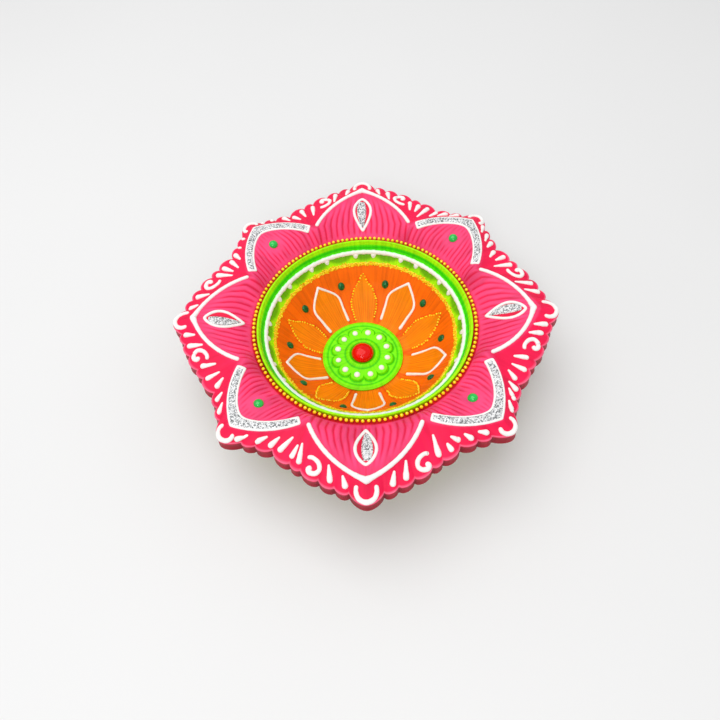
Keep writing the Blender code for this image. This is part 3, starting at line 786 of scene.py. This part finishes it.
def dome_on(surface, x, y, half_width, half_length, height, **more):
    """A dome standing on a surface, its length pointing away from the lamp's middle"""
    spot = np.array([x]), np.array([y])
    normal = normal_at(surface, *spot)[0]
    outward = np.array((x, y, 0.0)) / math.hypot(x, y)
    along = unit(outward - normal * np.dot(outward, normal))
    place = np.array((x, y, surface(*spot)[0]))
    return dome(place, normal, along, half_width, half_length, height, **more)


def ball(place, radius, steps=14, rings=9):
    """A small round bead as a shell"""
    turn = np.linspace(0.0, 2.0 * np.pi, steps, endpoint=False)
    loops = []
    for angle in np.linspace(-0.5 * np.pi, 0.5 * np.pi, rings):
        reach = np.cos(angle)
        ring = np.column_stack((np.cos(turn) * reach, np.sin(turn) * reach, np.full(steps, np.sin(angle))))
        loops.append(place + radius * ring)
    return grid_shell(np.stack(loops))


# Materials
def add_node(tree, kind, output, inputs, **settings):
    """An output of a new shader node, whose inputs are set or linked"""
    made = tree.nodes.new("ShaderNode" + kind)
    for key, value in settings.items():
        setattr(made, key, value)
    for key, value in inputs.items():
        if isinstance(value, bpy.types.NodeSocket):
            tree.links.new(value, made.inputs[key])
        else:
            made.inputs[key].default_value = value
    return made.outputs[output]


def new_finish(name, **sockets):
    """A material whose shader has these plain values, with its node tree and shader"""
    material = bpy.data.materials.new(name)
    material.use_nodes = True
    tree = material.node_tree
    surface = tree.nodes["Principled BSDF"]
    for key, value in sockets.items():
        surface.inputs[key.replace("_", " ")].default_value = value
    return material, tree, surface


def feed(tree, surface, **sockets):
    """Link the outputs of nodes to a shader"""
    for key, value in sockets.items():
        tree.links.new(value, surface.inputs[key.replace("_", " ")])


def object_place(tree):
    return add_node(tree, "TexCoord", "Object", {})


def noise(tree, scale, detail=3.0, vector=None):
    inputs = {"Vector": vector or object_place(tree), "Scale": scale, "Detail": detail}
    return add_node(tree, "TexNoise", "Fac", inputs)


def ramp(tree, value, *stops):
    """Colour ramp through stops of place and colour"""
    colour = add_node(tree, "ValToRGB", "Color", {"Fac": value})
    elements = colour.node.color_ramp.elements
    while len(elements) < len(stops):
        elements.new(0.5)
    for element, (place, shade) in zip(elements, stops):
        element.position = place
        element.color = (*[float(channel) for channel in shade], 1.0)
    return colour


def grey(value):
    return (value, value, value)


def spread(tree, value, low, high):
    """A value from 0 to 1 mapped to a range"""
    return add_node(tree, "MapRange", "Result", {"Value": value, "To Min": low, "To Max": high})


def worked(tree, operation, first, second):
    """Two values put together by a math node"""
    return add_node(tree, "Math", "Value", {0: first, 1: second}, operation=operation)


def multiplied(tree, first, second):
    inputs = {"Fac": 1.0, "Color1": first, "Color2": second}
    return add_node(tree, "MixRGB", "Color", inputs, blend_type="MULTIPLY")


def bump(tree, height, strength, distance):
    inputs = {"Height": height, "Strength": strength, "Distance": distance}
    return add_node(tree, "Bump", "Normal", inputs)


def painted_finish(name, streaks, roughness, **sockets):
    """Brushed paint over clay: the stored colour, which also holds painted shade and highlights, with soft
    patches and brush streaks
    """
    material, tree, surface = new_finish(name, **sockets)
    colour = add_node(tree, "Attribute", "Color", {}, attribute_name="paint")
    patches = ramp(tree, noise(tree, scale=70.0), (0.25, grey(0.86)), (0.75, grey(1.10)))
    x = add_node(tree, "SeparateXYZ", "X", {"Vector": object_place(tree)})
    y = x.node.outputs["Y"]
    flat = add_node(tree, "CombineXYZ", "Vector", {"X": x, "Y": y})
    radius = add_node(tree, "VectorMath", "Value", {0: flat}, operation="LENGTH")
    around, outward = streaks
    stretched = add_node(tree, "CombineXYZ", "Vector", {
        "X": worked(tree, "MULTIPLY", worked(tree, "ARCTAN2", y, x), around),
        "Y": worked(tree, "MULTIPLY", radius, outward),
    })
    streak = noise(tree, scale=1.0, detail=2.0, vector=stretched)
    streaky = ramp(tree, streak, (0.30, grey(0.84)), (0.70, grey(1.10)))
    height = worked(tree, "ADD", noise(tree, scale=1500.0, detail=2.0), streak)
    feed(tree, surface,
         Base_Color=multiplied(tree, multiplied(tree, colour, patches), streaky),
         Roughness=spread(tree, noise(tree, scale=240.0), *roughness),
         Normal=bump(tree, height, strength=0.16, distance=0.0003))
    return material


def paste_finish(name, colour, shade):
    """Dried piping paste: chalky, a little uneven"""
    material, tree, surface = new_finish(name, Specular_IOR_Level=0.35)
    feed(tree, surface,
         Base_Color=ramp(tree, noise(tree, scale=420.0), (0.30, shade), (0.62, colour)),
         Roughness=spread(tree, noise(tree, scale=900.0), low=0.36, high=0.62),
         Normal=bump(tree, noise(tree, scale=1300.0), strength=0.22, distance=0.0003))
    return material


def glitter_finish(name, scale, metallic, *stops):
    """Glitter flakes: each cell has a shade and a gloss of its own"""
    material, tree, surface = new_finish(name, Metallic=metallic, Specular_IOR_Level=0.3)
    flakes = add_node(tree, "TexVoronoi", "Color", {"Vector": object_place(tree), "Scale": scale})
    red = add_node(tree, "SeparateColor", "Red", {"Color": flakes})
    picked = red.node.outputs
    feed(tree, surface,
         Base_Color=ramp(tree, red, *stops),
         Roughness=spread(tree, picked["Green"], low=0.16, high=0.55),
         Normal=bump(tree, picked["Blue"], strength=0.55, distance=0.0004))
    return material


def gloss_finish(name, colour, shade, scale, **sockets):
    """Glossy resin or glass bead with a slightly clouded colour"""
    material, tree, surface = new_finish(name, **sockets)
    feed(tree, surface,
         Base_Color=ramp(tree, noise(tree, scale), (0.30, shade), (0.68, colour)),
         Roughness=spread(tree, noise(tree, 3.0 * scale), low=0.05, high=0.13))
    return material


pink_paint = painted_finish("pink_paint", (26.0, 40.0), (0.42, 0.62), Specular_IOR_Level=0.22)
bowl_paint = painted_finish("bowl_paint", (34.0, 60.0), (0.44, 0.64), Specular_IOR_Level=0.16)
disc_paint = painted_finish("disc_paint", (10.0, 160.0), (0.40, 0.60), Specular_IOR_Level=0.18)
white_paste = paste_finish("white_paste", (0.95, 0.945, 0.92), (0.88, 0.875, 0.84))
silver_glitter = glitter_finish(
    "silver_glitter", 1900.0, 0.1,
    (0.0, srgb(96, 98, 100)), (0.28, srgb(150, 152, 154)),
    (0.44, srgb(216, 217, 218)), (0.85, srgb(246, 247, 247)))
gold_glitter = glitter_finish(
    "gold_glitter", 1500.0, 0.0,
    (0.0, srgb(214, 150, 0)), (0.3, srgb(255, 200, 0)),
    (0.6, srgb(255, 222, 0)), (0.9, srgb(255, 238, 60)))
bead_gold = gloss_finish("bead_gold", srgb(255, 234, 0), srgb(255, 214, 0), 500.0, Coat_Weight=0.2)
green_gloss = gloss_finish("green_gloss", srgb(0, 205, 78), srgb(0, 170, 60), 300.0, Coat_Weight=0.5)
# Painted glints: the light specks of the dark bowl stones stand in for facets
dark_gloss = gloss_finish("dark_gloss", srgb(24, 128, 62), srgb(0, 52, 22), 900.0, Specular_IOR_Level=0.3)
red_gloss = gloss_finish("red_gloss", srgb(240, 6, 2), srgb(210, 2, 2), 160.0, Specular_IOR_Level=0.3)

# Paint of the rim: colours, where one fades into the next, and how much of it shows
PETAL_PINK = srgb(255, 74, 128)
# Painted shade in the combed grooves; the same red also tints the petals towards the crest
GROOVE_RED = srgb(236, 6, 66)
CREST_FADE = (0.72, 1.0)
CREST_SHADE = 0.4
LEAF_RED = srgb(238, 26, 70)
HEM_RED = srgb(248, 20, 78)
HEM_FADE = (0.0, 0.16)
SEAT_RED = srgb(222, 20, 40)
SEAT_FADE = (0.0, 0.03)
# Painted shade: the sides and the underside are darker, and darker still in the dips between scallops
SIDE_SHADE_RED = srgb(164, 8, 36)
SIDE_SHADE_FADE = (0.0005, 0.0011)
DIP_SHADE = 0.35
# Painted highlight: a pale pink line along the rounded top of the scalloped edge
LIP_HIGHLIGHT_PINK = srgb(255, 130, 165)
# Strength, place and width
LIP_HIGHLIGHT_LINE = (0.8, 0.00022, 0.00024)
LIP_HIGHLIGHT_FADE = (0.98, 1.0)
# Paint of the bowl, by depth under the lip. Lines and creases have a strength, a place and a width
LIP_LIME = srgb(168, 255, 0)
BAND_GREEN = srgb(84, 246, 0)
BAND_FADE = (0.0014, 0.0024)
STREAK_GREEN = srgb(20, 206, 0)
STREAK = (0.8, 0.0031, 0.0008)
# Reach and waves a turn
STREAK_WAVES = ((0.0003, 5.0), (0.0002, 13.0))
WALL_LIME = srgb(172, 250, 0)
WALL_FADE = (0.0046, 0.0058)
OLIVE = srgb(92, 168, 0)
OLIVE_TOP_FADE = (0.0062, 0.0068)
OLIVE_LOW = 0.0106
OLIVE_SAG = 0.0020
OLIVE_FADE = 0.0022
OLIVE_SHADE = 0.85
ORANGE = srgb(255, 112, 0)
ORANGE_FADE = (0.0104, 0.0112)
PETAL_ORANGE = srgb(255, 142, 0)
PETAL_FADE = (0.0, 0.0012)
# Darker orange for the brush lines in the petals, and for painted shade at the foot of the raised petals
CREASE_ORANGE = srgb(240, 78, 0)
PETAL_LINE = (0.6, 0.5, 0.2)
# Painted shade at the foot of the raised petals
PETAL_CREASE_SHADE = (0.7, -0.0008, 0.0007)
OUTSIDE_FADE = (0.0012, 0.0024)
OUTSIDE_MARGIN = 0.0015
# Paint of the medallion, with painted shade in the creases of the embossing
DISC_LIME = srgb(128, 255, 0)
DISC_SHADE_GREEN = srgb(36, 196, 0)
LOBE_CREASE_SHADING = (-0.0004, 0.0006)
BORDER_CREASE_SHADING = (0.87, 0.022)
COLLAR_CREASES = (0.0019, -0.0013)
COLLAR_CREASE_WIDTH = 0.0006
DISC_CREASE_SHADE = 0.8


def rim_colour(x, y, z):
    """Pink petals with painted shade in the grooves, a redder hem, a painted highlight along the edge and
    painted shade on the sides
    """
    radius, degrees = to_polar(x, y)
    up = dish_share(radius, degrees)
    out = hem_share(radius, degrees)
    drop = rim_height(x, y) - z
    dip = DIP_SHADE * (1.0 - scallop(degrees)[0])
    return layered(
        PETAL_PINK,
        # Painted shade: the combed grooves are darkened to red
        (GROOVE_RED, comb_groove(x, y)),
        (GROOVE_RED, CREST_SHADE * smoothstep(*CREST_FADE, up)),
        (LEAF_RED, leaf_mask(x, y)),
        (HEM_RED, smoothstep(*HEM_FADE, out)),
        (SEAT_RED, 1.0 - smoothstep(*SEAT_FADE, up)),
        # Painted shade on the sides and underside, deepest in the dips between scallops
        (SIDE_SHADE_RED * (1.0 - dip[:, None]), smoothstep(*SIDE_SHADE_FADE, drop)),
        # Painted highlight: a pale line along the rounded edge
        (LIP_HIGHLIGHT_PINK, ridge(drop, LIP_HIGHLIGHT_LINE) * smoothstep(*LIP_HIGHLIGHT_FADE, out)),
    )


def make_star_rim():
    """The moulded rim: combed dish, crest, hem, round scalloped edge and underside"""
    degrees = round_angles(RIM_COLUMNS)
    crest = crest_radius(degrees)
    edge = edge_radius(degrees)
    brow = edge - EDGE_ROUND
    radii = [mix(DISH_RADIUS, crest, share) for share in (0.0, *shares(DISH_ROWS))]
    radii += [mix(crest, brow, share) for share in shares(HEM_ROWS)]
    loops = [loop(SEAT_RADIUS, rim_height, degrees)]
    loops += [loop(radius, combed_height, degrees) for radius in radii]
    side_top = loops[-1][:, 2] - EDGE_ROUND
    side_low = EDGE_BOTTOM + EDGE_ROUND
    under = brow - EDGE_LEAN
    round_turn = 0.5 * math.pi * shares(ROUND_ROWS)
    line = []
    for angle in round_turn:
        line.append((brow + EDGE_ROUND * math.sin(angle), side_top + EDGE_ROUND * math.cos(angle)))
    for share in shares(SIDE_ROWS):
        waist = SIDE_WAIST * math.sin(math.pi * share)
        line.append((edge - EDGE_LEAN * share - waist, mix(side_top, side_low, share)))
    for angle in round_turn:
        line.append((under + EDGE_ROUND * math.cos(angle), side_low - EDGE_ROUND * math.sin(angle)))
    for share in shares(UNDER_ROWS):
        line.append((mix(under, SEAT_RADIUS, share), mix(EDGE_BOTTOM, SEAT_Z - PLATE_THICKNESS, share)))
    loops += [loop(radius, height, degrees) for radius, height in line]
    shell = grid_shell(np.stack(loops), closed=True)
    paint(add_piece("star_rim_clay", [shell], pink_paint, "pink_clay", "star_rim"), rim_colour)


def bowl_colour(x, y, z):
    """Lime and green bands at the mouth, olive arches, and the orange cone with lighter petals and painted
    shade at the foot of their relief
    """
    radius, degrees = to_polar(x, y)
    depth = LIP_Z - z
    wander = sum(reach * np.sin(np.radians(waves * degrees)) for reach, waves in STREAK_WAVES)
    repeat = (2.0 * (degrees - QUARTER_TURN) / FULL_TURN * TOOTH_REPEATS + 0.5) % 1.0
    low = OLIVE_LOW - OLIVE_SAG * (2.0 * repeat - 1.0) ** 2
    arch = smoothstep(*OLIVE_TOP_FADE, depth) * (1.0 - smoothstep(low - OLIVE_FADE, low, depth))
    inside = bowl_petal_inside(x, y)
    petal = smoothstep(*PETAL_FADE, inside)
    line = ridge(degrees / PETAL_LINE_SPACING % 1.0, PETAL_LINE) * petal
    outside = smoothstep(*OUTSIDE_FADE, wall_height(radius) - z)
    return layered(
        LIP_LIME,
        (BAND_GREEN, smoothstep(*BAND_FADE, depth)),
        (STREAK_GREEN, ridge(depth - wander, STREAK)),
        (WALL_LIME, smoothstep(*WALL_FADE, depth)),
        (OLIVE, OLIVE_SHADE * arch),
        (ORANGE, smoothstep(*ORANGE_FADE, depth)),
        (PETAL_ORANGE, petal),
        (CREASE_ORANGE, line * (1.0 - smoothstep(PETAL_START, PETAL_END, radius))),
        # Painted shade at the foot of the raised petals
        (CREASE_ORANGE, ridge(inside, PETAL_CREASE_SHADE) * (depth > ORANGE_FADE[1])),
        (WALL_LIME, np.maximum(outside, radius > MOUTH_RADIUS + OUTSIDE_MARGIN)),
    )


def make_oil_bowl():
    """The turned bowl: floor, wall with raised petals, lip, outside and foot"""
    degrees = round_angles(BOWL_COLUMNS)
    rows = np.linspace(0.0, WALL_SAMPLES - 1, WALL_ROWS)
    inside = np.interp(rows, np.arange(WALL_SAMPLES), WALL_RADII)
    loops = [loop(share * FLOOR_RADIUS, FLOOR_Z, degrees) for share in FLOOR_SHARES]
    loops += [loop(radius, bowl_height, degrees) for radius in inside]
    loops += [loop(radius, height, degrees) for radius, height in bowl_outside()]
    shell = grid_shell(np.stack(loops))
    bowl = add_piece("oil_bowl_clay", [shell], bowl_paint, "lime_clay", "oil_bowl")
    bowl.data.set_sharp_from_angle(angle=math.radians(BOWL_SHARP_ANGLE))
    paint(bowl, bowl_colour)


def disc_colour(x, y, z):
    """Bright lime, with green painted shade in the creases of the embossing"""
    radius, degrees = to_polar(x - DISC_X, y - DISC_Y)
    # Painted shade in the creases along the lobes, the border and both sides of the collar
    crease_shade = bell(lobe_inside(radius, degrees), *LOBE_CREASE_SHADING)
    crease_shade = np.maximum(crease_shade, bell(radius / DISC_RADIUS, *BORDER_CREASE_SHADING))
    for shift in COLLAR_CREASES:
        crease_shade = np.maximum(crease_shade, bell(radius, COLLAR_RADIUS + shift, COLLAR_CREASE_WIDTH))
    return layered(DISC_LIME, (DISC_SHADE_GREEN, DISC_CREASE_SHADE * crease_shade))


def make_medallion():
    """The embossed disc with its white dots and red dome"""
    degrees = round_angles(DISC_COLUMNS)
    middle = np.array((DISC_X, DISC_Y))
    radii = np.linspace(0.0, DISC_RADIUS, DISC_ROWS)
    loops = [loop(radius, disc_height, degrees, middle) for radius in radii]
    loops += [loop(radius, DISC_BOTTOM, degrees, middle) for radius in (DISC_RADIUS, 0.0)]
    shell = grid_shell(np.stack(loops))
    disc = add_piece("medallion_disc", [shell], disc_paint, "lime_disc", "centre_medallion")
    disc.data.set_sharp_from_angle(angle=math.radians(DISC_SHARP_ANGLE))
    paint(disc, disc_colour)
    dots = []
    for angle in round_angles(DISC_LOBES):
        x, y = middle + polar(DOT_CIRCLE, DISC_LOBE_TURN + angle)
        size = DOT_RADIUS * chance.uniform(*HAND_SPREAD)
        dots.append(dome_on(disc_height, x, y, size, DOT_LENGTH * size, DOT_HEIGHT * size))
    add_white("medallion_dots", dots)
    place = np.array((DISC_X, DISC_Y, DOME_LOW.z))
    upward = np.array((0.0, 0.0, 1.0))
    along = np.array((0.0, 1.0, 0.0))
    height = DOME_HIGH.z - DOME_LOW.z
    bead = dome(place, upward, along, DOME_RADIUS, DOME_RADIUS, height, rings=16, steps=64, squareness=0.9)
    add_piece("red_dome", [bead], red_gloss, "red_resin", "centre_cabochon")


def make_bead_chain():
    """Small beads strung round the mouth"""
    radius = 0.5 * (SEAT_RADIUS + DISH_RADIUS)
    height = BEADS_LOW.z + BEAD_RADIUS
    beads = []
    for angle in round_angles(round(2.0 * math.pi * radius / BEAD_PITCH)):
        slip = chance.normal(0.0, BEAD_SLIP)
        swing = chance.normal(0.0, BEAD_SWING)
        place = np.array((*polar(radius + slip, angle + swing), height))
        beads.append(ball(place, BEAD_RADIUS * chance.uniform(*BEAD_SPREAD)))
    add_piece("mouth_beads", beads, bead_gold, "gold_beads", "bead_chain")


def wall_ring(depth, width, **more):
    """A piped ring round the bowl's wall at a depth under the lip"""
    path = polar(wall_radius(depth), np.arange(FULL_TURN))
    return piped(path, (width, width), bowl_height, closed=True, **more)


def make_rings():
    """The white piped ring with its pairs of teeth, and the band of gold grains"""
    shells = [wall_ring(WHITE_RING_DEPTH, WHITE_RING_WIDTH, unevenness=0.12)]
    radii = wall_radius(WHITE_RING_DEPTH + np.linspace(*TOOTH_SPAN, TOOTH_STEPS))
    for number in range(TOOTH_REPEATS):
        for along in TOOTH_PLACES:
            angle = FULL_TURN * (number + along - 0.5) / TOOTH_REPEATS + QUARTER_TURN
            path = polar(radii, angle + chance.normal(0.0, TOOTH_SWING))
            shells.append(piped(path, TOOTH_WIDTHS, bowl_height, fullness=0.27))
    add_white("white_ring", shells, "white_scallop_ring")
    grains = [wall_ring(GOLD_RING_DEPTH, GOLD_BED_WIDTH, fullness=0.18, unevenness=0.2)]
    for angle in round_angles(GOLD_GRAINS):
        depth = GOLD_RING_DEPTH + GRAIN_SPREAD * np.clip(chance.normal(), -GRAIN_LIMIT, GRAIN_LIMIT)
        x, y = polar(wall_radius(depth), angle + chance.normal(0.0, GRAIN_SWING))
        size = chance.uniform(*GRAIN_SIZES)
        grains.append(dome_on(bowl_height, x, y, size, size, size, rings=2, steps=8))
    add_piece("gold_ring", grains, gold_glitter, "gold_glitter", "gold_glitter_ring")


def petal_path(outline, width, middle):
    """The outline of a bowl petal in plan, from one foot over its tip to the other foot"""
    points = [*outline, *[(share, -half) for share, half in reversed(outline[:-1])]]
    path = []
    for share, half in points:
        reach = mix(PETAL_START, PETAL_END, share)
        path.append(polar(reach, middle + math.degrees(half * 0.5 * width / reach)))
    return np.array(path)


def make_white_petal(number, middle):
    points = petal_path(WHITE_PETAL_LINE, WHITE_PETAL_WIDTH, middle)
    tip = len(points) // 2
    path = np.concatenate((smooth_path(points[:tip + 1]), smooth_path(points[tip:])[1:]))
    line = piped(path, WHITE_LINE_WIDTHS, bowl_height)
    add_white(f"white_petal_line_{number}", [line], f"white_petal_outline_{number}")


def make_gold_petal(number, middle):
    path = smooth_path(petal_path(GOLD_PETAL_LINE, GOLD_PETAL_WIDTH, middle))
    far = along_path(path)
    grains = []
    for spot in np.arange(0.0, far[-1], PETAL_GRAIN_PITCH):
        x = np.interp(spot, far, path[:, 0]) + chance.normal(0.0, PETAL_GRAIN_SLIP)
        y = np.interp(spot, far, path[:, 1]) + chance.normal(0.0, PETAL_GRAIN_SLIP)
        size = chance.uniform(*PETAL_GRAIN_SIZES)
        grains.append(dome_on(bowl_height, x, y, size, size, size, rings=3, steps=9))
    node = f"gold_petal_outline_{number}"
    add_piece(f"gold_petal_line_{number}", grains, gold_glitter, "gold_glitter", node)


def make_bowl_petals():
    """White piped and gold dotted petal outlines with a dark stone beside each"""
    spacing = FULL_TURN / PETAL_COUNT
    reach = mix(PETAL_START, PETAL_END, BOWL_GEM_REACH)
    for number in range(1, PETAL_COUNT + 1):
        middle = PETAL_TURN + spacing * (number - 1)
        make_petal = make_white_petal if number % 2 else make_gold_petal
        make_petal((number + 1) // 2, middle)
        x, y = polar(reach, middle + 0.5 * spacing)
        stone = dome_on(bowl_height, x, y, *BOWL_GEM_SIZES, rings=7, steps=32)
        add_piece(f"bowl_stone_{number}", [stone], dark_gloss, "dark_green_stone", f"bowl_gem_{number}")


def arch_radius(axis, swing):
    """Radius of the piped line along a long petal's crest"""
    near = np.clip(1.0 - np.abs(swing) / ARCH_REACH, 0.0, 1.0)
    shift = ARCH_APEX_SHIFTS[LONG_AXES.index(axis)]
    return crest_radius(axis + swing) + shift * near ** ARCH_SHIFT_FALL


def make_arches():
    """The piped line along the crest of each long petal, thick at its point"""
    swing = np.linspace(-ARCH_REACH, ARCH_REACH, ARCH_STEPS)
    widths = mix(ARCH_WIDTH, ARCH_APEX_WIDTH, (1.0 - np.abs(swing) / ARCH_REACH) ** ARCH_APEX_SHARPNESS)
    for number, axis in enumerate(LONG_AXES, start=1):
        line = piped(polar(arch_radius(axis, swing), axis + swing), widths, rim_height)
        add_white(f"petal_arch_line_{number}", [line], f"petal_arch_{number}")


def leaf_line(axis, share, side):
    """A line along an almond, with its side from -1 on the right border to 1 on the left one"""
    reach = mix(LEAF_START, LEAF_END, share)
    return polar(reach, axis + side * np.degrees(leaf_half_width(share) / reach))


def make_leaves():
    """The almond in each long petal: a piped outline and a strip of silver glitter"""
    share = np.linspace(0.0, 1.0, LEAF_STEPS)
    inner = np.linspace(*LEAF_STRIP_SPAN, LEAF_STRIP_STEPS)
    for number, (axis, shift) in enumerate(zip(LONG_AXES, LEAF_STRIP_SHIFTS), start=1):
        path = np.concatenate((leaf_line(axis, share, 1.0), leaf_line(axis, share, -1.0)[-2:0:-1]))
        line = piped(path, (LEAF_LINE_WIDTH, LEAF_LINE_WIDTH), rim_height, closed=True)
        add_white(f"leaf_line_{number}", [line], f"leaf_outline_{number}")
        right = leaf_line(axis, inner, shift - LEAF_STRIP_SHARE)
        left = leaf_line(axis, inner, shift + LEAF_STRIP_SHARE)
        strip = pad(right, left, rim_height, LEAF_STRIP_HEIGHT)
        add_piece(f"leaf_strip_{number}", [strip], silver_glitter, "silver_glitter", f"leaf_glitter_{number}")


def make_crescents():
    """The bent glitter band inside the crest of each short petal, with piped borders"""
    swing = np.linspace(-CRESCENT_REACH, CRESCENT_REACH, CRESCENT_STEPS)
    eased = np.hypot(swing, CRESCENT_EASE)
    for number, axis in enumerate(SHORT_AXES, start=1):
        outer = polar(crest_radius(axis + swing) - CRESCENT_INSET, axis + swing)
        soft = polar(crest_radius(axis + eased) - CRESCENT_INSET, axis + swing)
        inner = soft + CRESCENT_WIDTH * sideways(unit(np.gradient(soft, axis=0)))
        band = pad(inner, outer, rim_height, CRESCENT_HEIGHT)
        node = f"silver_crescent_{number}"
        add_piece(f"crescent_glitter_{number}", [band], silver_glitter, "silver_glitter", node)
        border = np.concatenate((outer, inner[::-1]))
        line = piped(border, (BORDER_WIDTH, BORDER_WIDTH), rim_height, closed=True)
        add_white(f"crescent_border_{number}", [line])


def make_rim_gems():
    """The green half-round stone on each short petal"""
    for number, axis in enumerate(SHORT_AXES, start=1):
        x, y = rim_gem_place(axis)
        stone = dome_on(rim_height, x, y, RIM_GEM_RADIUS, RIM_GEM_RADIUS, RIM_GEM_HEIGHT, rings=10, steps=48)
        add_piece(f"rim_stone_{number}", [stone], green_gloss, "green_stone", f"rim_gem_{number}")


def turned_path(shape, outward, aside, middle):
    """A smooth plan path through points given in millimetres aside and outwards from a middle"""
    return smooth_path([middle + MILLIMETRE * (across * aside + out * outward) for across, out in shape])


def make_tip_loops():
    """The U-shaped piped loop at each point of the star"""
    widths = LOOP_WIDTH * np.array(LOOP_SHARES)
    for number in range(STAR_POINTS):
        outward = polar(1.0, EIGHTH_TURN * number)
        shape = LONG_LOOP if number % 2 == 0 else SHORT_LOOP
        path = turned_path(shape, outward, sideways(outward), 0.0)
        add_white(f"tip_loop_line_{number + 1}", [piped(path, widths, rim_height)], f"tip_loop_{number + 1}")


def make_hem_strokes():
    """Tears, dots and curls piped by hand along the hem"""
    tears = []
    curls = []
    for axis, side, curl_angle, end_angles in HALF_PETALS:
        for (inset, margin, lean), end_angle in zip(STROKES, end_angles):
            angle = axis + side * end_angle
            end = polar(edge_radius(angle) - margin, angle)
            if abs(angle - DOTTED_AXIS) < DOTTED_REACH:
                tears.append(dome_on(rim_height, *end, *HEM_DOT_SIZES))
                continue
            start_angle = angle + side * lean
            start = polar(arch_radius(axis, start_angle - axis) + inset, start_angle)
            size = TEAR_WIDTH * chance.uniform(*HAND_SPREAD)
            widths = (TEAR_NECK, *[share * size for share in TEAR_SHARES])
            tears.append(piped(smooth_path([start, end]), widths, rim_height))
        outward = polar(1.0, axis + side * curl_angle)
        path = turned_path(CURL_PATH, outward, side * sideways(outward), CURL_RADIUS * outward)
        curls.append(piped(path, CURL_WIDTHS, rim_height))
    add_white("hem_tears", tears)
    add_white("hem_curls", curls)


def make_stage():
    """Pale floor, soft light from above and the photo's camera"""
    scene = bpy.context.scene
    bpy.ops.mesh.primitive_plane_add(size=FLOOR_SIZE)
    floor = bpy.context.object
    floor.name = "studio_floor"
    material, tree, surface = new_finish("floor_card", Roughness=0.85)
    feed(tree, surface, Base_Color=ramp(tree, noise(tree, scale=3.0), (0.3, grey(0.80)), (0.7, grey(0.82))))
    floor.data.materials.append(material)
    for name, place, size, power in LIGHTS:
        light = bpy.data.lights.new(name, "AREA")
        light.size = size
        light.energy = power
        lamp = add_object(name, light, place)
        lamp.rotation_euler = (-lamp.location).to_track_quat("-Z", "Y").to_euler()
    world = bpy.data.worlds.new("studio")
    world.use_nodes = True
    background = world.node_tree.nodes["Background"]
    background.inputs["Color"].default_value = (1.0, 1.0, 1.0, 1.0)
    background.inputs["Strength"].default_value = WORLD_STRENGTH
    scene.world = world
    lens = bpy.data.cameras.new("photo_camera")
    lens.lens = CAMERA_LENS
    lens.clip_start = CAMERA_NEAR
    scene.camera = add_object("photo_camera", lens, CAMERA_PLACE)
    scene.camera.rotation_euler = [math.radians(angle) for angle in CAMERA_TURN]
    scene.view_settings.view_transform = "Standard"


make_stage()
make_star_rim()
make_oil_bowl()
make_medallion()
make_bead_chain()
make_rings()
make_bowl_petals()
make_arches()
make_leaves()
make_crescents()
make_rim_gems()
make_tip_loops()
make_hem_strokes()
